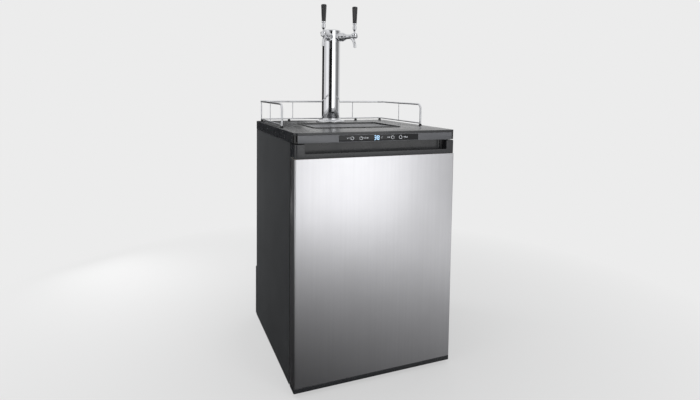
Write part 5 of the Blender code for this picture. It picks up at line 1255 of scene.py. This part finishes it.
# Inside
class KEGERATOR_OT_inside(bpy.types.Operator):
    """Builds the lining, the cold plate, the fan and the lamp's cover"""
    bl_idname = "kegerator.inside"
    bl_label = "Inside"

    def execute(self, context):
        soften_all("cabinet", ("Inner liner", "inner_liner", 0.003, 3, "Thermoformed HIPS"),
                   ("Lamp cover", "lamp_cover", 0.003, 4, "Frosted polycarbonate"))
        self.cold_plate()
        self.fan_housing()
        self.fan_rotor()
        return {"FINISHED"}

    def cold_plate(self):
        near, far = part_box("cold_plate")
        channel, stud = 0.0035, 0.006
        front, back = near.y + channel, far.y - stud
        plate = block("plate", (near.x, front, near.z), (far.x, back, far.z), 0.0006, 2)
        corner_pitch = (far.z - near.z) / 6
        run = (far.x - near.x) / 2 - corner_pitch
        x = (near.x + far.x) / 2
        corners = []
        for i in range(5):
            side = 1 if i % 2 else -1
            z = near.z + corner_pitch * (i + 1)
            corners += [(x + side * run, front, z), (x - side * run, front, z)]
        tube = bar("channel", bent(corners, corner_pitch * 0.42, 10), channel)
        pieces = [plate, tube]
        for sx in (-1, 1):
            for z in (near.z + corner_pitch / 2, far.z - corner_pitch / 2):
                post = at(x + sx * ((far.x - near.x) / 2 - corner_pitch / 2), 0, z)
                pieces.append(turned("stud", [(0, far.y, 0), (stud, far.y, 0.0004), (stud, front + 0.001, 0),
                                              (0, front + 0.001, 0)], post, "Y", 32))
                screw = pan_screw("plate screw", 0.0040, "-Y")
                screw.data.transform(post @ at(0, front, 0))
                pieces.append(screw)
        finish(merged("Cold plate", pieces), "cabinet", "cold_plate", material="Rolled aluminium")

    def fan_housing(self):
        """A square frame round the fan, with four spokes to its motor and a post at each corner."""
        near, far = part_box("fan_housing")
        x, _, z = (near + far) / 2
        half, wall, depth = (far.x - near.x) / 2, 0.003, 0.030
        front, rear = near.y, near.y + depth
        frame_block = block("frame", (near.x, front, near.z), (far.x, rear, far.z), 0.006, 5, "Y")
        here = at(x, 0, z)
        bore = turned("bore", pin(half - wall, rear + 0.01, front - 0.01), here, "Y", 96)
        pieces = [cut_away(frame_block, bore)]
        for turn in (45, 135):
            spoke = block("spoke", (-half + wall / 2, rear - 0.004, -0.002),
                          (half - wall / 2, rear - 0.001, 0.002), 0.0006, 2)
            spoke.data.transform(here @ spun(turn, "Y"))
            pieces.append(spoke)
        pieces.append(turned("motor", [(0, rear - SEAT_GAP, 0), (0.016, rear - SEAT_GAP, 0.001),
                                       (0.016, rear - 0.008, 0.001), (0, rear - 0.008, 0)], here, "Y", 48))
        reach = hypot(half, half) - 3 * wall
        for angle in map(radians, (45, 135, 225, 315)):
            post = here @ at(reach * cos(angle), 0, reach * sin(angle))
            pieces.append(turned("post", [(0, far.y, 0), (0.005, far.y, 0.0004), (0.005, rear - wall, 0),
                                          (0, rear - wall, 0)], post, "Y", 24))
            screw = pan_screw("fan screw", 0.0036, "-Y")
            screw.data.transform(post @ at(0, front, 0))
            pieces.append(screw)
        for piece in pieces:
            dressed(piece, "Satin grey ABS" if "screw" in piece.name else "Moulded black ABS")
        finish(merged("Fan housing", pieces), "cabinet", "fan_housing")

    def fan_rotor(self):
        """A domed hub with seven twisted, curved blades round it."""
        near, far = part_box("fan_rotor")
        centre = middle("fan_rotor")
        depth, hub, reach = 0.0185, 0.016, (far.x - near.x) / 2
        here = at(centre.x, near.y, centre.z) @ AXIS_TURNS["-Y"]
        cap = turned("hub", [
            (0, 0, 0), (0.0125, -0.0004, 0.003), (hub, -0.0035, 0.002), (hub, -depth, 0.0006),
            (0, -depth, 0)], steps=64)
        build = bmesh.new()
        columns, rows = 12, 8
        sweep_end, flattening, camber_height, root = 0.28, 0.62, 0.0014, hub * 0.9
        grid = []
        for i in range(columns + 1):
            share = i / columns
            radius = root + (reach - root) * share
            width, tilt = 0.0100 + 0.0075 * share, radians(48 - 18 * share)
            line = []
            for j in range(rows + 1):
                along = 2 * j / rows - 1
                across, lift = along * width * cos(tilt), along * width * sin(tilt) * flattening
                camber = camber_height * (1 - along * along)
                angle = sweep_end * share * share + across / radius
                line.append(build.verts.new((radius * cos(angle), radius * sin(angle),
                                             lift + camber - depth / 2)))
            grid.append(line)
        joined(build, grid, wrap=False)
        bmesh.ops.solidify(build, geom=build.faces[:], thickness=0.0014)
        blade = new_object("blade", mesh_from(build, "blade", 50))
        blades = repeated("blades", "Ring of pieces", blade, "Moulded black ABS", Count=7, Radius=0.0)
        rotor = merged("Fan rotor", [cap, blades])
        rotor.data.transform(here)
        finish(rotor, "fan_rotor", "fan_rotor", material="Moulded black ABS")


# Gas cylinder and regulator
GAUGE_RADIUS = 0.021


class KEGERATOR_OT_gas(bpy.types.Operator):
    """Builds the gas cylinder, its valve, the regulator, two gauges and the knob"""
    bl_idname = "kegerator.gas"
    bl_label = "Gas"

    def execute(self, context):
        self.cylinder()
        self.valve()
        self.wheel()
        self.regulator()
        upper, outer = "pressure_gauge_1", "pressure_gauge_2"
        self.gauge(upper, (middle(upper).x, high(upper).z - GAUGE_RADIUS), "Z", 60)
        self.gauge(outer, (high(outer).x - GAUGE_RADIUS, middle(outer).z), "X", 120)
        self.knob()
        return {"FINISHED"}

    def cylinder(self):
        near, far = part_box("gas_cylinder")
        r, neck, shoulder = (far.x - near.x) / 2, 0.016, 0.046
        seat = far.z - 0.014
        arc = [(neck + (r - neck) * sin(a), seat - shoulder * (1 - cos(a)), 0)
               for a in (radians(90) * i / 16 for i in range(1, 17))]
        cylinder = turned("Gas cylinder", [
            (0, far.z, 0), (neck, far.z, 0.0012), (neck, seat, 0.002), *arc, (r, near.z + 0.012, 0.010),
            (r * 0.93, near.z, 0.003), (r * 0.80, near.z, 0.002), (r * 0.5, near.z + 0.004, 0.01),
            (0, near.z + 0.006, 0)], above("gas_cylinder"), steps=96)
        finish(cylinder, "gas_cylinder", "gas_cylinder", material="Rolled aluminium")

    def valve(self):
        near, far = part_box("cylinder_valve")
        x, y = middle("gas_cylinder").x, middle("gas_cylinder").y
        r, h = 0.013, far.z - near.z
        outlet_z = near.z + h * 0.55
        stem = turned("stem", [
            (0, near.z + h, 0), (r * 0.35, near.z + h, 0.0006), (r * 0.35, near.z + h * 0.80, 0.0006),
            (r * 0.62, near.z + h * 0.79, 0.0008), (r * 0.80, near.z + h * 0.75, 0.0015),
            (r * 0.97, near.z + h * 0.67, 0.002), (r * 0.97, near.z + h * 0.30, 0.001),
            (r * 0.86, near.z + h * 0.28, 0.0006), (r * 0.86, near.z + h * 0.22, 0.0006),
            (r, near.z + h * 0.20, 0.0008), (r, near.z + 0.0004, 0.0008), (0, near.z, 0)], at(x, y, 0),
            steps=56)
        reach = far.x - x
        outlet = turned("outlet", [
            (0, reach, 0), (r * 0.66, reach, 0.0008), (r * 0.70, reach - 0.002, 0.0004),
            (r * 0.70, 0.004, 0), (0, 0.004, 0)], at(x, y, outlet_z), "X", 48)
        finish(merged("Cylinder valve", [stem, outlet]), "gas_cylinder", "cylinder_valve",
               material="Turned brass")

    def wheel(self):
        near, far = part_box("valve_wheel")
        centre = middle("valve_wheel")
        r, h = 0.019, far.z - near.z
        wheel = turned("wheel", [
            (0, h, 0), (r * 0.66, h, 0.001), (r * 0.72, h - 0.0006, 0.001), (r, h * 0.82, 0.0016),
            (r, h * 0.16, 0.0012), (r * 0.80, 0, 0.001), (0.00485, 0, 0), (0.00485, 0.0097, 0),
            (0, 0.0097, 0)], Matrix(), steps=96)
        notch = turned("notch", pin(r / 4, 0.03, -0.01), steps=24)
        notches = repeated("notches", "Ring of pieces", notch, "Moulded black ABS", Count=6,
                           Radius=r * 1.15)
        wheel = cut_away(wheel, notches)
        wheel.data.transform(at(centre.x, centre.y, near.z))
        wheel.name = "Valve wheel"
        finish(wheel, "valve_wheel", "valve_wheel", material="Moulded black ABS")

    def regulator(self):
        """A brass diaphragm body with a hex nut, a stem, a hose barb and six screws on its bonnet."""
        near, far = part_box("regulator")
        r, half = 0.023, 0.018
        x, y, z = far.x - r, middle("gas_cylinder").y, middle("pressure_gauge_2").z
        here = at(x, y, z)
        body = turned("body", [
            (0, half, 0), (r * 0.58, half, 0.0012), (r * 0.74, half * 0.62, 0.002),
            (r * 0.98, half * 0.30, 0.001), (r, half * 0.26, 0.0006), (r, half * 0.02, 0.0006),
            (r * 0.95, 0, 0.0004), (r * 0.95, -half * 0.06, 0.0004), (r, -half * 0.08, 0.0006),
            (r, -half * 0.6, 0.002), (r * 0.88, -half, 0.0015), (0, -half, 0)], here, "-Y", 72)
        hex_start, hex_length = near.x, 0.0104
        nut = turned("nut", [(0, hex_start + hex_length, 0), (0.0100, hex_start + hex_length, 0),
                             (0.0117, hex_start + hex_length - 0.0012, 0), (0.0117, hex_start + 0.0012, 0),
                             (0.0100, hex_start, 0), (0, hex_start, 0)], at(0, y, z), "X", 6)
        stem = turned("stem", pin(0.005, x, hex_start + 0.006), at(0, y, z), "X", 32)
        barb = turned("barb", [
            (0, 0, 0), (0.005, 0, 0), (0.005, -r - 0.005, 0.0006), (0.0028, -r - 0.0055, 0),
            (0.0040, -r - 0.0085, 0.0002), (0.0028, -r - 0.0090, 0), (0.0040, -r - 0.0120, 0.0002),
            (0.0028, -r - 0.0125, 0), (0.0034, near.z - z, 0.0004), (0, near.z - z, 0)], here, steps=32)
        screw = pan_screw("bonnet screw", 0.0022)
        screws = repeated("screws", "Ring of pieces", screw, "Zinc-plated steel",
                          here @ AXIS_TURNS["-Y"] @ at(0, 0, half * 0.27), Count=6,
                          Radius=r * 0.86, Start=radians(30))
        for piece in (body, nut, stem, barb):
            smooth(dressed(piece, "Turned brass").data, 30)
        finish(merged("Regulator", [body, nut, stem, barb, screws]), "gas_cylinder", "regulator")

    def gauge(self, node, centre, stem_axis, reading):
        """A pressure gauge: case, stem, dial with its ticks and numbers, needle and lens."""
        near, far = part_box(node)
        x, z = centre
        r, back, front = GAUGE_RADIUS, far.y, near.y
        here = at(x, 0, z)
        dial = front + 0.0022
        case = turned("case", [
            (0, back, 0), (r * 0.94, back, 0.0015), (r * 0.97, back - 0.003, 0.001),
            (r * 0.97, front + 0.006, 0.0006), (r, front + 0.0052, 0.0006), (r, front, 0.0010),
            (r * 0.91, front, 0.0004), (r * 0.90, dial, 0), (0, dial, 0)], here, "Y", 96)
        y = (front + back) / 2
        sign = Vector((x, 0, z)) - Vector((middle("regulator_knob").x, 0, middle("regulator_knob").z))
        start = 0.0233 - sign.length
        stem = turned("stem", [(0, -r * 0.5, 0), (0.005, -r * 0.5, 0), (0.005, start, 0.0004), (0, start, 0)],
                      at(x, y, z), stem_axis, 32)
        flats = turned("stem flats", pin(0.0064, start + 0.0068, start + 0.0016), at(x, y, z), stem_axis, 6)
        for piece in (stem, flats):
            smooth(piece.data, 30)
        finish(merged(node.replace("_", " ").capitalize(), [case, stem, flats]), "gas_cylinder", node,
               material="Chromed brass")
        label = "left" if stem_axis == "Z" else "right"
        face = turned(f"Gauge dial {label}", pin(r * 0.885, dial - 0.0001, dial - 0.0005)[::-1], here,
                      "Y", 72)
        finish(face, "gas_cylinder", material="White dial enamel")
        printed = dial - 0.0006
        ink = "Black printing ink"
        turn = here @ at(0, printed, 0) @ spun(90, "X")
        marks = []
        for count, length, width in ((31, 0.0014, 0.00022), (7, 0.0026, 0.00045)):
            tick = block("tick", (-length / 2, -width / 2, -0.0001), (length / 2, width / 2, 0.0001))
            marks.append(repeated("ticks", "Ring of pieces", tick, ink, turn, Count=count,
                                  Radius=r * 0.84 - length / 2, Start=radians(225),
                                  Sweep=-radians(270) * count / (count - 1)))
        for i in range(7):
            angle = radians(225 - 45 * i)
            spot = (x + r * 0.60 * cos(angle), printed, z + r * 0.60 * sin(angle))
            marks.append(lettering("number", str(i * reading // 6), 0.0034, spot, 0.0002))
        finish(merged(f"Gauge marks {label}", marks), "gas_cylinder", material=ink)
        needle = block("needle", (-0.0052, -0.00045, -0.0002), (r * 0.74, 0.00045, 0.0002))
        for vertex in needle.data.vertices:
            if vertex.co.x > 0:
                vertex.co.y *= 0.3
        needle.data.transform(here @ at(0, printed - 0.0005, 0) @
                              spun(90, "X") @
                              spun(225 if label == "left" else 150, "Z"))
        boss = turned("boss", [
            (0, printed - 0.0002, 0), (0.0014, printed - 0.0002, 0), (0.0014, printed - 0.0009, 0.0003),
            (0, printed - 0.0010, 0)][::-1], here, "Y", 24)
        finish(merged(f"Gauge needle {label}", [needle, boss]), "gas_cylinder", material=ink)
        lens = turned(f"Gauge lens {label}", pin(r * 0.90, front + 0.0003, front + 0.0008), here, "Y", 72)
        finish(lens, "gas_cylinder", material="Clear polycarbonate")

    def knob(self):
        near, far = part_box("regulator_knob")
        centre = middle("regulator_knob")
        r, length = (far.x - near.x) / 2, far.y - near.y
        knob = turned("knob", [
            (0, length, 0), (r * 0.84, length, 0.001), (r * 0.98, length * 0.91, 0.0015),
            (r, length * 0.22, 0.001), (r * 0.72, 0.0006, 0.001), (0, 0, 0)], Matrix(), steps=96)
        flute = turned("flute", [
            (0, length + 0.01, 0), (r / 7, length + 0.01, 0), (r / 7, length * 0.26, 0.001),
            (0, length * 0.25, 0)], steps=16)
        flutes = repeated("flutes", "Ring of pieces", flute, "Moulded black ABS", Count=18,
                          Radius=r * 1.04)
        knob = cut_away(knob, flutes)
        knob.data.transform(at(centre.x, far.y, centre.z) @ AXIS_TURNS["-Y"])
        knob.name = "Regulator knob"
        finish(knob, "regulator_knob", "regulator_knob", material="Moulded black ABS")


# Stage, light and camera
BACKDROP = "#ececec"
FRAMING = (-0.0079, -0.1136)  # the camera's shift, as the photograph's verticals are parallel


def softbox(name, place, target, width, height, power):
    """A soft lamp that reflections don't show."""
    light = bpy.data.lights.new(name, "AREA")
    light.shape = "RECTANGLE"
    light.size, light.size_y = width, height
    light.energy = power
    obj = bpy.data.objects.new(name, light)
    obj.location = place
    obj.rotation_euler = (Vector(target) - Vector(place)).to_track_quat("-Z", "Y").to_euler()
    obj.visible_glossy = False
    bpy.context.scene.collection.objects.link(obj)


def seen_rays(tree):
    """1 for rays from the camera and for those that gloss or glass sends on, and 0 for light's own rays."""
    rays = add_node(tree, "ShaderNodeLightPath")
    value = rays.outputs["Is Camera Ray"]
    for kind in ("Is Glossy Ray", "Is Transmission Ray"):
        value = math_node(tree, "MAXIMUM", value, rays.outputs[kind])
    return value


def card(name, place, target, width, height, brightness, strength=1.0, fade=0.0):
    """A flat card that stands out of the picture and shows only in reflections. It hides this share of what
    is behind it, and fades out to its local +Y end over the share named fade."""
    build = bmesh.new()
    bmesh.ops.create_grid(build, x_segments=1, y_segments=1, size=0.5)
    mesh = bpy.data.meshes.new(name)
    build.to_mesh(mesh)
    build.free()
    obj = new_object(name, mesh)
    obj.scale = (width, height, 1)
    obj.location = place
    obj.rotation_euler = (Vector(target) - Vector(place)).to_track_quat("Z", "Y").to_euler()
    tree, shader = new_material(name, linear("#0c0c0d"), 1.0, emission_color=(1, 1, 1, 1),
                                emission_strength=brightness)
    along = add_node(tree, "ShaderNodeSeparateXYZ", {0: object_coordinates(tree)}).outputs["Y"]
    clear = add_node(tree, "ShaderNodeBsdfTransparent").outputs[0]
    factor = between(tree, along, 1 - strength, 1, 0.4999 - fade, 0.5)
    mixed = add_node(tree, "ShaderNodeMixShader", {0: factor, 1: shader.outputs[0], 2: clear})
    tree.links.new(mixed.outputs[0], tree.nodes["Material Output"].inputs["Surface"])
    dressed(obj, name)
    obj.visible_camera = obj.visible_shadow = obj.visible_diffuse = False
    return obj


class KEGERATOR_OT_stage(bpy.types.Operator):
    """Builds the floor, the lights, the surroundings and the camera"""
    bl_idname = "kegerator.stage"
    bl_label = "Stage"

    def execute(self, context):
        self.floor()
        self.lights()
        self.world(context.scene)
        self.camera(context.scene)
        return {"FINISHED"}

    def floor(self):
        """A round pale floor. The part's shadow lies on it, and further out it has the backdrop's tone."""
        build = bmesh.new()
        bmesh.ops.create_circle(build, cap_ends=True, segments=96, radius=60)
        obj = new_object("Floor", mesh_from(build, "floor", 60, fix_normals=False))
        white = linear("#f0f0f0")
        tree, shader = new_material("Matt white card", white, 0.9)
        place = object_coordinates(tree)
        far = add_node(tree, "ShaderNodeVectorMath", {0: place}, operation="LENGTH").outputs["Value"]
        share_near, shadow_end, backdrop_start = 0.60, 0.4, 1.8
        share = between(tree, far, share_near, 1.0, shadow_end, backdrop_start)
        seen = seen_rays(tree)
        factor = math_node(tree, "MULTIPLY", share, seen)
        # The lamps would clip the card to white, so the camera sees it in a darker grey.
        drive(tree, shader, tinted(tree, seen, white, linear("#a6a6a6")))
        pale = add_node(tree, "ShaderNodeEmission", {"Color": (*linear(BACKDROP), 1), "Strength": 1.0})
        mixed = add_node(tree, "ShaderNodeMixShader", {0: factor, 1: shader.outputs[0], 2: pale.outputs[0]})
        tree.links.new(mixed.outputs[0], tree.nodes["Material Output"].inputs["Surface"])
        dressed(obj, "Matt white card")

    def lights(self):
        """Soft lamps for the light, and cards for what chrome and steel reflect."""
        softbox("Left softbox", (-3.1, -1.0, 1.5), (0, 0, 0.8), 1.5, 2.4, 30)
        softbox("Front softbox", (0.9, -3.2, 1.75), (0, 0, 0.8), 1.5, 2.2, 62)
        softbox("Rear softbox", (-1.0, 1.2, 0.75), (-0.3, 0.1, 0.5), 0.5, 1.3, 26)
        softbox("Overhead softbox", (0, 0.2, 3.4), (0, 0, 0), 3.0, 3.0, 75)
        card("Bright card to the left", (-3.1, -1.0, 1.2), (0, 0, 1.2), 1.9, 2.8, 1.2)
        card("Bright card in front", (0.75, -3.3, 1.25), (0.3, 0, 1.1), 2.3, 2.6, 1.8)
        card("Grey card to the right", (2.8, -0.9, 1.2), (0, 0, 1.2), 2.6, 2.8, 0.25)
        card("Dark card behind the camera", (-1.50, -3.15, 1.2), (0, 0, 1.1), 2.7, 3.0, 0.0)
        card("Dark card behind the part", (-1.15, 2.8, 0.7), (-0.3, 0, 0.7), 4.2, 2.1, 0.0)
        for name, place, turn, width, depth, strength, fade in (
                ("Dark card on the floor in front", (0.2, -0.42, 0.004), 230, 3.6, 2.4, 0.95, 0.70),
                ("Dark card on the floor behind", (-1.5, 1.15, 0.005), 0, 2.4, 3.3, 1.0, 0.1)):
            lying = card(name, place, (*place[:2], 1), width, depth, 0.0, strength, fade)
            lying.rotation_euler = (0, 0, radians(turn))

    def world(self, scene):
        """Even light from all round, which the camera and the reflections see as the pale backdrop."""
        world = bpy.data.worlds.new("Studio")
        scene.world = world
        world.use_nodes = True
        tree = world.node_tree
        tree.nodes.clear()
        seen = add_node(tree, "ShaderNodeBackground", {"Color": (*linear(BACKDROP), 1), "Strength": 1.0})
        light = add_node(tree, "ShaderNodeBackground", {"Color": (*linear("#e4e6e9"), 1), "Strength": 0.45})
        mixed = add_node(tree, "ShaderNodeMixShader", {0: seen_rays(tree), 1: light.outputs[0],
                                                       2: seen.outputs[0]})
        end = add_node(tree, "ShaderNodeOutputWorld")
        tree.links.new(mixed.outputs[0], end.inputs["Surface"])

    def camera(self, scene):
        given = scene.kegerator_camera
        data = bpy.data.cameras.new("Camera")
        data.lens, data.sensor_width = given.lens, 36
        data.shift_x, data.shift_y = FRAMING
        turn, pitch = given.turn, given.pitch
        ahead = Vector((sin(turn) * cos(pitch), cos(turn) * cos(pitch), -sin(pitch)))
        level = Vector((cos(turn), -sin(turn), 0))
        upright = level.cross(ahead)
        right = level * cos(given.roll) + upright * sin(given.roll)
        up = upright * cos(given.roll) - level * sin(given.roll)
        obj = bpy.data.objects.new("Camera", data)
        axes = Matrix((right, up, -ahead)).transposed().to_4x4()
        obj.matrix_world = Matrix.Translation(given.place) @ axes
        scene.collection.objects.link(obj)
        scene.camera = obj
        scene.view_settings.view_transform = "Standard"


# Add-on
OPERATORS = (
    KEGERATOR_OT_cabinet, KEGERATOR_OT_door, KEGERATOR_OT_worktop, KEGERATOR_OT_tray, KEGERATOR_OT_rail,
    KEGERATOR_OT_tower, KEGERATOR_OT_taps, KEGERATOR_OT_rear, KEGERATOR_OT_inside, KEGERATOR_OT_gas,
    KEGERATOR_OT_stage)


class KEGERATOR_PT_panel(bpy.types.Panel):
    """Colours, sizes and camera of the kegerator, with a button for each group of pieces"""
    bl_label = "Kegerator"
    bl_space_type = "VIEW_3D"
    bl_region_type = "UI"
    bl_category = "Kegerator"

    def draw(self, context):
        for name in GROUPS:
            group = getattr(context.scene, name)
            for key in group.__annotations__:
                self.layout.prop(group, key)
        for operator in OPERATORS:
            self.layout.operator(operator.bl_idname)


GROUPS = {"kegerator_finish": KegeratorFinish, "kegerator_sizes": KegeratorSizes,
          "kegerator_camera": KegeratorCamera}
CLASSES = (*GROUPS.values(), *OPERATORS, KEGERATOR_PT_panel)


def register():
    for item in CLASSES:
        bpy.utils.register_class(item)
    for name, item in GROUPS.items():
        setattr(bpy.types.Scene, name, bpy.props.PointerProperty(type=item))


def unregister():
    for name in GROUPS:
        delattr(bpy.types.Scene, name)
    for item in reversed(CLASSES):
        bpy.utils.unregister_class(item)


def main():
    register()
    make_materials()
    TREES.update({"Ring of pieces": ring_tree(), "Grid of pieces": grid_tree(), "Row of pieces": line_tree()})
    for operator in OPERATORS:
        group, name = operator.bl_idname.split(".")
        result = getattr(getattr(bpy.ops, group), name)()
        if result != {"FINISHED"}:
            raise RuntimeError(f"{operator.bl_label} did not finish")


if __name__ == "__main__":
    main()
